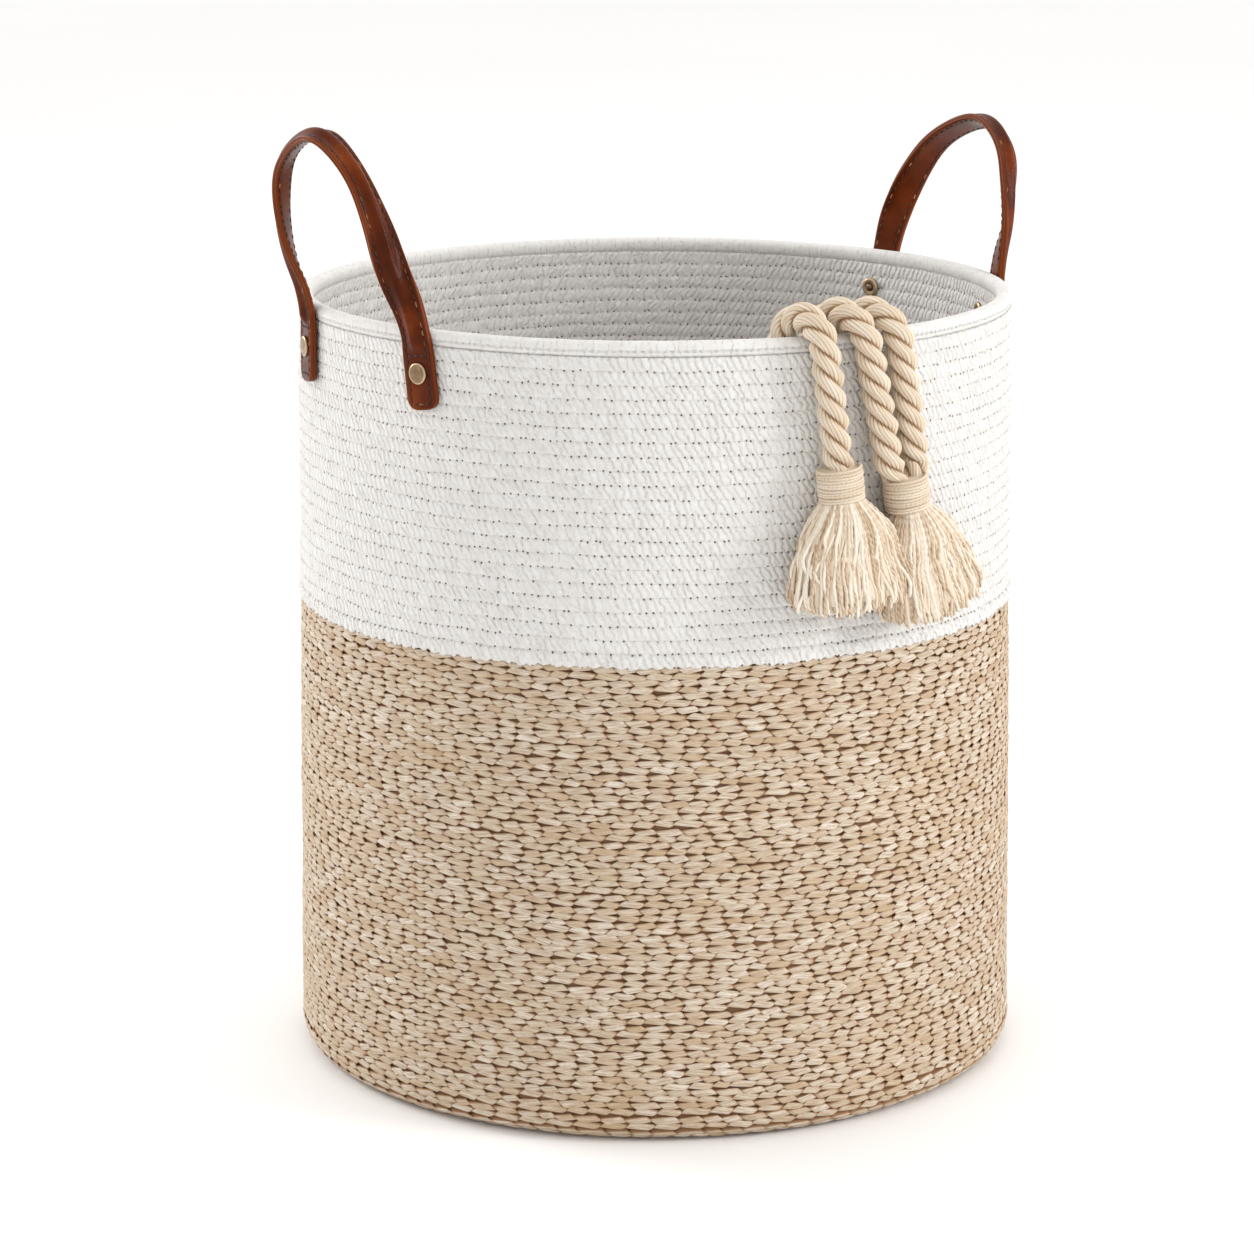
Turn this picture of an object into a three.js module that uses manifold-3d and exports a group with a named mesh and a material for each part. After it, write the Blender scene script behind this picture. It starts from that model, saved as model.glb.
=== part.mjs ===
// Round coiled-rope storage basket with two riveted leather handles and two rope tassels.
// Millimetres, +Z up. Origin: middle of the underside. Handles at +X and -X, tassels at -Y.
import * as THREE from "three";
import { mergeVertices } from "three/addons/utils/BufferGeometryUtils.js";
import Module from "manifold-3d";

const wasm = await Module();
wasm.setup();

// ---- driving dimensions -------------------------------------------------------------
const HEIGHT = 300; // floor to the top of the rim coil
const R_BOTTOM = 142.1; // outer radius just above the bottom corner
const R_TOP = 137.9; // outer radius at the rim
const WALL = 5.4; // one coil thick
const CORNER = 10; // bottom corner radius
const SEAM_Z = 181.8; // braid below, cotton rope above
const RIM_Z = 294.2; // underside of the rim coil
const RIM_THICK = 6.1;
const GAP = 0.3; // running gap between touching pieces
const ROUND = 48; // facets round the basket

const STRAP_W = 13.6; // width of a tab
const ARCH_W = 12.2; // width of the strap above the tabs, drawn in round its padding
const LAYER = 1.2; // thickness of one leather layer
const PAD_HALF = 4.0; // half width of the padded centre
const PAD_RISE = 2.0; // how far the padding lifts the face
const TAB_AZ = { right: 16.2, left: 15.15 }; // tabs sit this far either side of the handle's middle, degrees
const TURN = { right: -2.0, left: 184.05 }; // azimuth of each handle's middle, degrees
const TAB_SLANT = 8; // the tab on a handle's +y side runs outwards to its lower end, degrees
const TAB_LOW = 271.2; // bottom end of a tab
const TAB_CORNER = 4.4;
const RIVET_Z = 284.4;
const RIVET_CAP_R = 4.0;
const HOLE_R = 1.9;
const HINGE_Z = 303; // line about which a handle bends
// How each soft handle rests: outward lean in degrees, rise above the hinge, how far the top bows
// back in, the strap's turn away from the wall in each leg (-y, +y) with the length it takes, and
// the arch's half widths at 27, 55 and 82 % of the rise and at the top, in the handle's own y.
const RESTS = {
  right: { lean: 16.9, rise: 54.8, bow: -1.0, turned: [78, 92], twist: [43, 34], low: [-38.0, -33.5, -26.0], top: -8.0, high: [20.0, 31.6, 37.1] },
  left: { lean: 14.6, rise: 66.1, bow: -1.4, turned: [74, 119], twist: [51, 41], low: [-41.6, -39.3, -29.2], top: -0.8, high: [17.1, 25.2, 29.1] },
};

const ROPE_R = 5.6; // twisted tassel rope
const ROPE_SIDES = 8;
const TASSEL_HINGE_Z = 296; // where a rope leaves the rim
const KEEPER_AZ = -95.8; // cotton band sewn inside, holds the rope ends
const KEEPER_Z = [250, 272];

const rad = THREE.MathUtils.degToRad;
const outerR = (z) =>
  R_BOTTOM + ((R_TOP - R_BOTTOM) * (z - CORNER)) / (HEIGHT - CORNER);

// ---- helpers ------------------------------------------------------------------------
function weld(geometry) {
  let g = geometry.index ? geometry.toNonIndexed() : geometry.clone();
  for (const key of Object.keys(g.attributes))
    if (key !== "position") g.deleteAttribute(key);
  g = mergeVertices(g, 1e-3);
  const p = g.attributes.position, kept = [];
  const src = g.index.array;
  let volume = 0;
  for (let i = 0; i < src.length; i += 3) {
    const [a, b, c] = [src[i], src[i + 1], src[i + 2]];
    if (a === b || b === c || c === a) continue;
    kept.push(a, b, c);
    const A = new THREE.Vector3().fromBufferAttribute(p, a),
      B = new THREE.Vector3().fromBufferAttribute(p, b),
      C = new THREE.Vector3().fromBufferAttribute(p, c);
    volume += A.dot(B.cross(C)) / 6;
  }
  if (volume < 0)
    for (let i = 0; i < kept.length; i += 3)
      [kept[i + 1], kept[i + 2]] = [kept[i + 2], kept[i + 1]];
  g.setIndex(kept);
  return g;
}

function toSolid(geometry) {
  const g = weld(geometry);
  return new wasm.Manifold(
    new wasm.Mesh({
      numProp: 3,
      vertProperties: Float32Array.from(g.attributes.position.array),
      triVerts: Uint32Array.from(g.index.array),
    }),
  );
}

function fromSolid(solid) {
  const m = solid.getMesh(), v = new Float32Array(m.numVert * 3);
  for (let i = 0; i < m.numVert; i++)
    for (let k = 0; k < 3; k++) v[i * 3 + k] = m.vertProperties[i * m.numProp + k];
  return new THREE.BufferGeometry()
    .setAttribute("position", new THREE.BufferAttribute(v, 3))
    .setIndex(new THREE.BufferAttribute(Uint32Array.from(m.triVerts), 1));
}

function map(geometry, fn) {
  const p = geometry.attributes.position, v = new THREE.Vector3();
  for (let i = 0; i < p.count; i++) {
    v.fromBufferAttribute(p, i);
    fn(v);
    p.setXYZ(i, v.x, v.y, v.z);
  }
  return geometry;
}

const lathe = (pairs, segments = ROUND) =>
  new THREE.LatheGeometry(pairs.map(([r, z]) => new THREE.Vector2(r, z)), segments).rotateX(
    Math.PI / 2,
  );

const shapeOf = (pairs) => new THREE.Shape(pairs.map(([x, y]) => new THREE.Vector2(x, y)));

const material = (color, roughness, metalness = 0) => () =>
  new THREE.MeshStandardMaterial({ color, roughness, metalness });
const jute = material(0xc9b594, 0.9);
const cotton = material(0xf1efeb, 0.95);
const cream = material(0xe9dcc4, 0.95);
const leather = material(0x8a4218, 0.42);
const lining = material(0x7a3812, 0.5);
const felt = material(0xb9b2a4, 1);
const brass = material(0x8c7350, 0.38, 1);

const basket = new THREE.Group();
function add(name, geometry, mat) {
  const g = weld(geometry);
  g.computeVertexNormals();
  const m = new THREE.Mesh(g, mat());
  m.name = name;
  basket.add(m);
  return m;
}

// ---- base, walls, rim -----------------------------------------------------------------
const rc = R_BOTTOM - CORNER; // where the flat underside ends
add(
  "base_coil",
  lathe([[0, 0], [rc - GAP, 0], [rc - GAP, WALL], [0, WALL]]),
  jute,
);

const arc = (cx, cz, r, from, to, n) =>
  Array.from({ length: n + 1 }, (_, i) => {
    const a = rad(from + ((to - from) * i) / n);
    return [cx + r * Math.cos(a), cz + r * Math.sin(a)];
  });
const topLow = SEAM_Z - GAP / 2;
add(
  "lower_wall_braid",
  lathe([
    ...arc(rc, CORNER, CORNER, -90, 0, 4),
    [outerR(topLow), topLow],
    [outerR(topLow) - WALL, topLow],
    ...arc(rc, CORNER, CORNER - WALL, 0, -90, 3),
    [rc, 0],
  ]),
  jute,
);

// wall with the rivet holes drilled through it
const rivetSpots = [];
for (const side of [1, -1])
  for (const end of [1, -1])
    rivetSpots.push({
      side: side > 0 ? "right" : "left",
      turn: TURN[side > 0 ? "right" : "left"],
      local: end * TAB_AZ[side > 0 ? "right" : "left"],
      slant: end > 0 ? Math.tan(rad(TAB_SLANT)) : 0,
      name: (side > 0 ? "right" : "left") + (side * end > 0 ? "_rear" : "_front"),
    });
for (const s of rivetSpots)
  s.az = s.turn + s.local + THREE.MathUtils.radToDeg((s.slant * (HINGE_Z - RIVET_Z)) / (outerR(RIVET_Z) + 1.7));
// a cylinder along the wall's outward normal at an azimuth
function radial(r0, r1, radius, az, z, sides = 12) {
  return new THREE.CylinderGeometry(radius, radius, r1 - r0, sides)
    .rotateZ(-Math.PI / 2)
    .translate((r0 + r1) / 2, 0, 0)
    .rotateZ(rad(az))
    .translate(0, 0, z);
}
const z0 = SEAM_Z + GAP / 2, z1 = RIM_Z - GAP;
let upper = toSolid(
  lathe([
    [outerR(z0) - WALL, z0],
    [outerR(z0), z0],
    [outerR(z1), z1],
    [outerR(z1) - WALL, z1],
    [outerR(z0) - WALL, z0],
  ]),
);
for (const s of rivetSpots)
  upper = upper.subtract(toSolid(radial(125, 145, HOLE_R, s.az, RIVET_Z)));
add("upper_wall_rope", fromSolid(upper), cotton);

const rimMid = outerR(HEIGHT) + 0.3 - RIM_THICK / 2;
add(
  "rim_cord",
  lathe([
    [rimMid - RIM_THICK / 2, RIM_Z + 0.6],
    [rimMid, RIM_Z],
    [rimMid + RIM_THICK / 2, RIM_Z + 0.6],
    [rimMid + RIM_THICK / 2, HEIGHT - 1.8],
    [rimMid + 1.2, HEIGHT],
    [rimMid - 1.2, HEIGHT],
    [rimMid - RIM_THICK / 2, HEIGHT - 1.8],
    [rimMid - RIM_THICK / 2, RIM_Z + 0.6],
  ]),
  cotton,
);

// ---- handle tabs and rivets -----------------------------------------------------------
// A tab is flat leather on the outside of the wall, following the wall's slight taper.
const wallTilt = Math.atan((R_BOTTOM - R_TOP) / (HEIGHT - CORNER));
const MID_OFF = 0.35 + LAYER + 0.15; // wall face to the middle of the strap
const strapR = (z) => outerR(z) + MID_OFF;
const hingeX = (side) => strapR(HINGE_Z) * Math.cos(rad(TAB_AZ[side]));
const hingeY = (side) => strapR(HINGE_Z) * Math.sin(rad(TAB_AZ[side]));

function tabPlate(near, far, slant) {
  const w = STRAP_W / 2, top = HINGE_Z - 0.2, c = TAB_CORNER;
  const s = new THREE.Shape();
  s.moveTo(-w, top).lineTo(-w, TAB_LOW + c);
  s.absarc(-w + c, TAB_LOW + c, c, Math.PI, 1.5 * Math.PI, false);
  s.lineTo(w - c, TAB_LOW);
  s.absarc(w - c, TAB_LOW + c, c, 1.5 * Math.PI, 2 * Math.PI, false);
  s.lineTo(w, top);
  const g = new THREE.ExtrudeGeometry(s, { depth: far - near, bevelEnabled: false, curveSegments: 4 });
  // shape x = along the wall, y = height, extrusion = outwards
  return map(g, (v) => {
    const t = v.x + slant * (HINGE_Z - v.y), z = v.y, n = near + v.z;
    v.set(strapR(z) + n - (t * t - v.x * v.x) / 280, t, z);
  });
}
// Ends of tab and arch are cut to a shallow V each, so that the handle can turn between them.
const CUT = [rad(33), rad(26)]; // outer side, inner side
function cutter(side, forArch) {
  const k = forArch ? 1 : -1, far = 14;
  const s = shapeOf([
    [-far, -k * far * 1.5],
    [far, -k * far * 1.5],
    [far, k * (0.3 + far * Math.tan(CUT[0]))],
    [0, k * 0.3],
    [-far, k * (0.3 + far * Math.tan(CUT[1]))],
  ]);
  return toSolid(
    new THREE.ExtrudeGeometry(s, { depth: 160, bevelEnabled: false })
      .rotateX(Math.PI / 2)
      .translate(hingeX(side), 80, HINGE_Z),
  );
}

for (const s of rivetSpots) {
  const { turn, local } = s; // of the handle, and of the tab within it
  for (const [kind, near, far, mat] of [
    ["tab", 0.15, 0.15 + LAYER, leather],
    ["tab_lining", -0.15 - LAYER, -0.15, lining],
  ]) {
    let tab = toSolid(tabPlate(near, far, s.slant).rotateZ(rad(local)))
      .subtract(cutter(s.side, false))
      .subtract(toSolid(radial(125, 150, HOLE_R, s.az - turn, RIVET_Z)));
    add(s.name + "_" + kind, fromSolid(tab).rotateZ(rad(turn)), mat);
  }
  // rivet: domed cap with its stem through tab and wall, and a flanged back inside
  const face = strapR(RIVET_Z) + 0.15 + LAYER + GAP;
  const inside = outerR(RIVET_Z) - WALL - GAP;
  const stem = HOLE_R - GAP - 0.1;
  add(
    s.name + "_rivet_cap",
    lathe(
      [
        [0, inside - 1.4],
        [stem, inside - 1.4],
        [stem, face],
        [RIVET_CAP_R, face],
        [RIVET_CAP_R, face + 0.7],
        [RIVET_CAP_R * 0.72, face + 1.4],
        [0, face + 1.6],
      ],
      12,
    )
      .rotateY(Math.PI / 2)
      .rotateZ(rad(s.az))
      .translate(0, 0, RIVET_Z),
    brass,
  );
  add(
    s.name + "_rivet_back",
    lathe(
      [
        [HOLE_R - 0.1, inside - 1],
        [RIVET_CAP_R, inside - 1],
        [RIVET_CAP_R, inside - 0.2],
        [HOLE_R - 0.1, inside - 0.2],
        [HOLE_R - 0.1, inside - 1],
      ],
      12,
    )
      .rotateY(Math.PI / 2)
      .rotateZ(rad(s.az))
      .translate(0, 0, RIVET_Z),
    brass,
  );
}

// ---- handle arches ----------------------------------------------------------------------
const E_Y = new THREE.Vector3(0, 1, 0);
const FRACTIONS = [0.27, 0.55, 0.82];
function archOf(side) {
  const rest = RESTS[side], HINGE_X = hingeX(side), HINGE_Y = hingeY(side);
  const lean = rad(rest.lean);
  const E_Q = new THREE.Vector3(Math.sin(lean), 0, Math.cos(lean)); // up along the leaning plane
  const E_B = new THREE.Vector3(Math.cos(lean), 0, -Math.sin(lean)); // out of that plane
  const points = [
    [-HINGE_Y, 0],
    ...rest.low.map((y, i) => [y, FRACTIONS[i] * rest.rise]),
    [rest.top, rest.rise],
    ...rest.high.map((y, i) => [y, FRACTIONS[2 - i] * rest.rise]),
    [HINGE_Y, 0],
  ];
  const curve = new THREE.CatmullRomCurve3(
    points.map(([y, q]) =>
      new THREE.Vector3(HINGE_X, 0, HINGE_Z)
        .addScaledVector(E_Y, y)
        .addScaledVector(E_Q, q)
        .addScaledVector(E_B, rest.bow * (q / rest.rise) ** 2),
    ),
  );
  curve.arcLengthDivisions = 800;
  const length = curve.getLength();
  const frame = (u) => {
    const P = curve.getPointAt(u), T = curve.getTangentAt(u);
    const out = new THREE.Vector3()
      .addScaledVector(E_Y, -T.dot(E_Q))
      .addScaledVector(E_Q, T.dot(E_Y));
    const k = Math.min(1, (u * length) / rest.twist[0], ((1 - u) * length) / rest.twist[1]);
    const turned = THREE.MathUtils.lerp(...rest.turned, THREE.MathUtils.smoothstep(u, 0.3, 0.7));
    const psi = rad(TAB_AZ[side] + (turned - TAB_AZ[side]) * k);
    const n = new THREE.Vector3()
      .addScaledVector(E_B, Math.cos(psi))
      .addScaledVector(out, Math.sin(psi));
    const w = new THREE.Vector3().crossVectors(n, T).normalize();
    n.crossVectors(T, w).normalize();
    return { P, n, w };
  };
  return { frame, length };
}
const padAt = (w) => (Math.abs(w) >= PAD_HALF ? 0 : PAD_RISE * Math.cos((Math.PI * w) / (2 * PAD_HALF)) ** 2);
const padFade = (u, length) => {
  const x = Math.min(1, (Math.min(u, 1 - u) * length + 3) / 10);
  return x * x * (3 - 2 * x);
};
function sweep(arch, pairs, u0, u1, steps, height) {
  const g = new THREE.ExtrudeGeometry(shapeOf(pairs), { depth: 1, steps, bevelEnabled: false });
  return map(g, (v) => {
    const u = u0 + (u1 - u0) * v.z, f = arch.frame(u);
    const w = v.x, n = height(v.x, v.y, u);
    v.copy(f.P).addScaledVector(f.w, w).addScaledVector(f.n, n);
  });
}
const ws = [-ARCH_W / 2, -PAD_HALF, -PAD_HALF / 2, 0, PAD_HALF / 2, PAD_HALF, ARCH_W / 2];
const outerPairs = [...ws.map((w) => [w, 0.15]), ...[...ws].reverse().map((w) => [w, 0.15 + LAYER])];
const liningPairs = [
  [-ARCH_W / 2, -0.15 - LAYER],
  [ARCH_W / 2, -0.15 - LAYER],
  ...[...ws].reverse().map((w) => [w, -0.15]),
];
// the filler is a soft core with the same facets as the leather above it
const half = PAD_HALF / 2;
const fillerPairs = [
  [-half, 0], [0, 0], [half, 0], [half, 1], [0, 1], [-half, 1],
];
const padFacet = (w) => {
  const a = Math.abs(w);
  return a < half
    ? padAt(0) + ((padAt(half) - padAt(0)) * a) / half
    : (padAt(half) * (PAD_HALF - a)) / half;
};
for (const side of ["right", "left"]) {
  const turn = TURN[side], arch = archOf(side), archCutter = cutter(side, true);
  const top = toSolid(
    sweep(arch, outerPairs, 0, 1, 60, (w, n, u) => n + padAt(w) * padFade(u, arch.length)),
  ).subtract(archCutter);
  const under = toSolid(sweep(arch, liningPairs, 0, 1, 60, (w, n) => n)).subtract(archCutter);
  add(side + "_handle_strap", fromSolid(top).rotateZ(rad(turn)), leather);
  add(side + "_handle_lining", fromSolid(under).rotateZ(rad(turn)), lining);
  add(
    side + "_handle_filler",
    sweep(arch, fillerPairs, 4 / 60, 56 / 60, 52, (w, n, u) =>
      n === 0 ? 0.12 : Math.max(0.3, padFacet(w) * padFade(u, arch.length) - 0.2),
    ).rotateZ(rad(turn)),
    felt,
  );
}

// ---- tassel ropes --------------------------------------------------------------------------
const polar = (az, r, z) => new THREE.Vector3(r * Math.cos(rad(az)), r * Math.sin(rad(az)), z);
// azimuths: at the keeper, at the crest, where it leaves the rim, at the binding
const ROPES = {
  left_rope: { az: [-101.6, -99.5, -97.7, -96.0], r: 147.2, zEnd: 254.6, crest: 306.8, part: "left" },
  right_rope_a: { az: [-95.8, -93.2, -90.5, -87.5], r: 147.6, zEnd: 252.4, crest: 307.6, part: "right" },
  right_rope_b: { az: [-90.0, -87.3, -84.9, -82.4], r: 146.6, zEnd: 252.0, crest: 306.8, part: "right" },
};
const RIM_IN = 125.5, RIM_OUT = 144.9; // rope centre inside and outside the rim
function ropeCurve(o) {
  const pts = [];
  for (let i = 0; i <= 5; i++) pts.push(polar(o.az[0], RIM_IN, 252 + (292 - 252) * (i / 5)));
  const mid = (RIM_IN + RIM_OUT) / 2, half = (RIM_OUT - RIM_IN) / 2, zc = 296;
  for (let i = 1; i < 10; i++) {
    const a = Math.PI * (1 - i / 10);
    const f = i / 10, az = f < 0.5
      ? o.az[0] + (o.az[1] - o.az[0]) * (f / 0.5)
      : o.az[1] + (o.az[2] - o.az[1]) * ((f - 0.5) / 0.5);
    pts.push(polar(az, mid + half * Math.cos(a), zc + (o.crest - zc) * Math.sin(a)));
  }
  for (let i = 0; i <= 5; i++) {
    const f = i / 5, z = TASSEL_HINGE_Z - 2 + (o.zEnd - TASSEL_HINGE_Z + 2) * f;
    pts.push(polar(o.az[2] + (o.az[3] - o.az[2]) * f, RIM_OUT + (o.r - RIM_OUT) * f, z));
  }
  const c = new THREE.CatmullRomCurve3(pts);
  c.arcLengthDivisions = 600;
  return c;
}
// the part of a curve between two fractions of its length
class Stretch extends THREE.Curve {
  constructor(curve, a, b) {
    super();
    Object.assign(this, { curve, a, b });
  }
  getPoint(t, target = new THREE.Vector3()) {
    return target.copy(this.curve.getPointAt(this.a + (this.b - this.a) * t));
  }
}
const ropeShape = new THREE.Shape(
  Array.from({ length: ROPE_SIDES }, (_, i) => {
    const a = (2 * Math.PI * i) / ROPE_SIDES;
    return new THREE.Vector2(ROPE_R * Math.cos(a), ROPE_R * Math.sin(a));
  }),
);
const tube = (curve, a, b, steps) =>
  new THREE.ExtrudeGeometry(ropeShape, { steps, extrudePath: new Stretch(curve, a, b), bevelEnabled: false });
for (const [name, o] of Object.entries(ROPES)) {
  const curve = ropeCurve(o), length = curve.getLength();
  // fraction of the length at which the outer run passes the hinge height
  let split = 1;
  for (let i = 1000; i > 0; i--)
    if (curve.getPointAt(i / 1000).z < TASSEL_HINGE_Z) split = i / 1000;
    else break;
  const g = 0.25 / length;
  add(name + "_bight", tube(curve, 0, split - g, 16), cream);
  add(name + "_drop", tube(curve, split + g, 1, 5), cream);
}

// ---- tassel heads: binding and skirt ---------------------------------------------------------
function placed(geometry, az, r, z, tilt) {
  // local x = along the wall (towards +X at the front), y = outwards, z = up; tilt swings the
  // lower end along +x
  const m = new THREE.Matrix4().makeRotationY(rad(-tilt));
  const t = new THREE.Vector3(-Math.sin(rad(az)), Math.cos(rad(az)), 0);
  const n = new THREE.Vector3(Math.cos(rad(az)), Math.sin(rad(az)), 0);
  const basis = new THREE.Matrix4().makeBasis(t, n, new THREE.Vector3(0, 0, 1));
  if (basis.determinant() > 0) throw new Error("expected a mirrored basis");
  return geometry
    .applyMatrix4(m)
    .applyMatrix4(basis)
    .translate(r * n.x, r * n.y, z);
}
const BIND_R = 8.5, BIND_H = 12.8;
const HEADS = [
  { side: "left", az: -95.85, r: 148.1, z: 247.8, tilt: 6.3, half: 18.6, len: 39.6, skirtTilt: 5.6 },
  { side: "right", az: -84.6, r: 148.3, z: 241.6, tilt: 9.0, half: 17.2, len: 40.2, skirtTilt: 15 },
];
for (const h of HEADS) {
  const b = BIND_H / 2;
  const binding = lathe(
    [[0, -b], [BIND_R - 0.9, -b], [BIND_R, -b + 1.4], [BIND_R, b - 1.4], [BIND_R - 0.9, b], [0, b]],
    16,
  );
  add(h.side + "_binding", placed(binding, h.az, h.r, h.z, h.tilt), cream);
  const top = -b - 0.8;
  const skirt = lathe(
    [
      [0, top],
      [7.3, top],
      [10.6, top - 4],
      [h.half * 0.79, top - 12],
      [h.half * 0.92, top - 24],
      [h.half, top - h.len + 3],
      [h.half - 0.8, top - h.len],
      [0, top - h.len],
    ],
    16,
  );
  map(skirt, (v) => {
    const f = (top - v.z) / h.len; // 0 at the top, 1 at the hem
    const squash = 1 - 0.46 * Math.min(1, f * 2.3);
    v.y = v.y * squash + 3.1 * f; // flattened against the wall, hem carried outwards by it
  });
  add(h.side + "_skirt", placed(skirt, h.az, h.r, h.z, h.skirtTilt), cream);
}

// ---- keeper band inside: holds the ends of the three ropes --------------------------------------
const band = new THREE.ExtrudeGeometry(
  shapeOf([
    [-28, 129.3], [-19, 129.3], [-19, 119], [19, 119], [19, 129.3], [28, 129.3],
    [28, 127.4], [20.9, 127.4], [20.9, 117], [-20.9, 117], [-20.9, 127.4], [-28, 127.4],
  ]),
  { depth: KEEPER_Z[1] - KEEPER_Z[0], bevelEnabled: false },
);
// shape y is the distance from the basket's axis, towards the front
const face = rad(KEEPER_AZ);
map(band, (v) => {
  const t = v.x, n = v.y, z = KEEPER_Z[0] + v.z;
  v.set(n * Math.cos(face) - t * Math.sin(face), n * Math.sin(face) + t * Math.cos(face), z);
});
add("rope_keeper_band", band, cotton);

export default basket;
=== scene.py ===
import math

import bpy
import numpy as np
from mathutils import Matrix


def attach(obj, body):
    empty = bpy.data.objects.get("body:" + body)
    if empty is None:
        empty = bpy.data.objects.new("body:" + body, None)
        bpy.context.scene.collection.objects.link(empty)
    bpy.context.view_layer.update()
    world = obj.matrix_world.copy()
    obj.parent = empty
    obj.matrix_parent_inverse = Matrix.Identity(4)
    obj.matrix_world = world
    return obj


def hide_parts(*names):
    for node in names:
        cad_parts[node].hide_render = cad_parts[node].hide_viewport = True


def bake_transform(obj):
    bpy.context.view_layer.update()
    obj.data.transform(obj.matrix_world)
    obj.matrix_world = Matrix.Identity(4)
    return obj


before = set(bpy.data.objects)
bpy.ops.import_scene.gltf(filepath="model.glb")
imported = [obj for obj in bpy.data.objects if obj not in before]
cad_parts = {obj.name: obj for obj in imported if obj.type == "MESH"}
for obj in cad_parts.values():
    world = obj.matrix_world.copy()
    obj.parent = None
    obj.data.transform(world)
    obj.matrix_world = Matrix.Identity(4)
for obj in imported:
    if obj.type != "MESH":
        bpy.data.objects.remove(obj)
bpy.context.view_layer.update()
MM = 0.001
scene = bpy.context.scene


def lin(r, g, b):
    """Linear colour from 0-255 display values."""
    out = []
    for c in (r, g, b):
        c /= 255.0
        out.append(c / 12.92 if c <= 0.04045 else ((c + 0.055) / 1.055) ** 2.4)
    return (*out, 1.0)


# ---- camera ------------------------------------------------------------------------------
cam_data = bpy.data.cameras.new("camera")
cam = bpy.data.objects.new("camera", cam_data)
scene.collection.objects.link(cam)
CAM_AZ, CAM_D, CAM_H, CAM_PITCH = -32.5, 1.512, 0.525, 13.445
a = math.radians(CAM_AZ)
cam.location = (CAM_D * math.sin(a), -CAM_D * math.cos(a), CAM_H)
cam.rotation_euler = (math.radians(90 - CAM_PITCH), 0, a)
cam_data.sensor_width = 36
cam_data.lens = 36 * 3928 / 1254
cam_data.shift_x = -28 / 1254
cam_data.clip_start, cam_data.clip_end = 0.05, 50
scene.camera = cam


# ---- numbers shared with the CAD model, in millimetres -----------------------------------
HEIGHT, R_BOTTOM, R_TOP, WALL, CORNER = 300, 142.1, 137.9, 5.4, 10
SEAM_Z, RIM_Z, RIM_THICK = 181.8, 294.2, 6.1
STRAP_W, ARCH_W, LAYER, PAD_HALF, PAD_RISE = 13.6, 12.2, 1.2, 4.0, 2.0
TAB_AZ, TAB_LOW, TAB_CORNER, RIVET_Z, RIVET_CAP_R = {"right": 16.2, "left": 15.15}, 271.2, 4.4, 284.4, 4.0
TAB_SLANT, TURN, HINGE_Z = 8, {"right": -2.0, "left": 184.05}, 303
RESTS = {
    "right": dict(lean=16.9, rise=54.8, bow=-1.0, turned=(78, 92), twist=(43, 34), low=(-38.0, -33.5, -26.0), top=-8.0, high=(20.0, 31.6, 37.1)),
    "left": dict(lean=14.6, rise=66.1, bow=-1.4, turned=(74, 119), twist=(51, 41), low=(-41.6, -39.3, -29.2), top=-0.8, high=(17.1, 25.2, 29.1)),
}
ROPE_R, TASSEL_HINGE_Z, RIM_IN, RIM_OUT = 5.6, 296, 125.5, 144.9
PITCH = 5.05


def outer_r(z):
    return R_BOTTOM + (R_TOP - R_BOTTOM) * (z - CORNER) / (HEIGHT - CORNER)


def strap_r(z):
    return outer_r(z) + 1.70


def rng(seed):
    return np.random.default_rng(seed)


# ---- mesh helpers --------------------------------------------------------------------------
def unit(v):
    return v / np.maximum(np.linalg.norm(v, axis=-1, keepdims=True), 1e-12)


class Build:
    """Collects vertices, faces and per-vertex values, in millimetres."""

    def __init__(self):
        self.v, self.f, self.a, self.n = [], [], {}, 0

    def add(self, v, faces, **attrs):
        v = np.asarray(v, float).reshape(-1, 3)
        for f in faces:
            self.f.append(np.asarray(f, np.int64) + self.n)
        for k, val in attrs.items():
            val = np.asarray(val, float)
            self.a.setdefault(k, []).append(
                np.broadcast_to(val, (len(v), 3) if k == "st" else (len(v),)).copy()
            )
        self.v.append(v)
        self.n += len(v)

    def object(self, name, material, smooth=True):
        v = np.concatenate(self.v) * MM
        me = bpy.data.meshes.new(name)
        me.vertices.add(len(v))
        me.vertices.foreach_set("co", v.astype(np.float32).ravel())
        loops = np.concatenate([f.ravel() for f in self.f]).astype(np.int32)
        totals = np.concatenate([np.full(len(f), f.shape[1]) for f in self.f]).astype(np.int32)
        starts = np.concatenate([[0], np.cumsum(totals)[:-1]]).astype(np.int32)
        me.loops.add(len(loops))
        me.loops.foreach_set("vertex_index", loops)
        me.polygons.add(len(totals))
        me.polygons.foreach_set("loop_start", starts)
        me.polygons.foreach_set("loop_total", totals)
        me.polygons.foreach_set("use_smooth", np.full(len(totals), smooth))
        me.update(calc_edges=True)
        for k, parts in self.a.items():
            data = np.concatenate(parts).astype(np.float32)
            kind = "FLOAT_VECTOR" if k == "st" else "FLOAT"
            at = me.attributes.new(k, kind, "POINT")
            at.data.foreach_set("vector" if k == "st" else "value", data.ravel())
        me.materials.append(material)
        o = bpy.data.objects.new(name, me)
        scene.collection.objects.link(o)
        return o


def volume(v, quads):
    a, b, c, d = (v[quads[:, i]] for i in range(4))
    return np.einsum("ij,ij->i", a, np.cross(b, c)).sum() + np.einsum(
        "ij,ij->i", a, np.cross(c, d)
    ).sum()


def grid_quads(n, m, wrap_n=False, wrap_m=True):
    i = np.arange(n if wrap_n else n - 1)
    j = np.arange(m if wrap_m else m - 1)
    i, j = np.meshgrid(i, j, indexing="ij")
    i, j = i.ravel(), j.ravel()
    i2, j2 = (i + 1) % n, (j + 1) % m
    return np.stack([i * m + j, i2 * m + j, i2 * m + j2, i * m + j2], 1)


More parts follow.
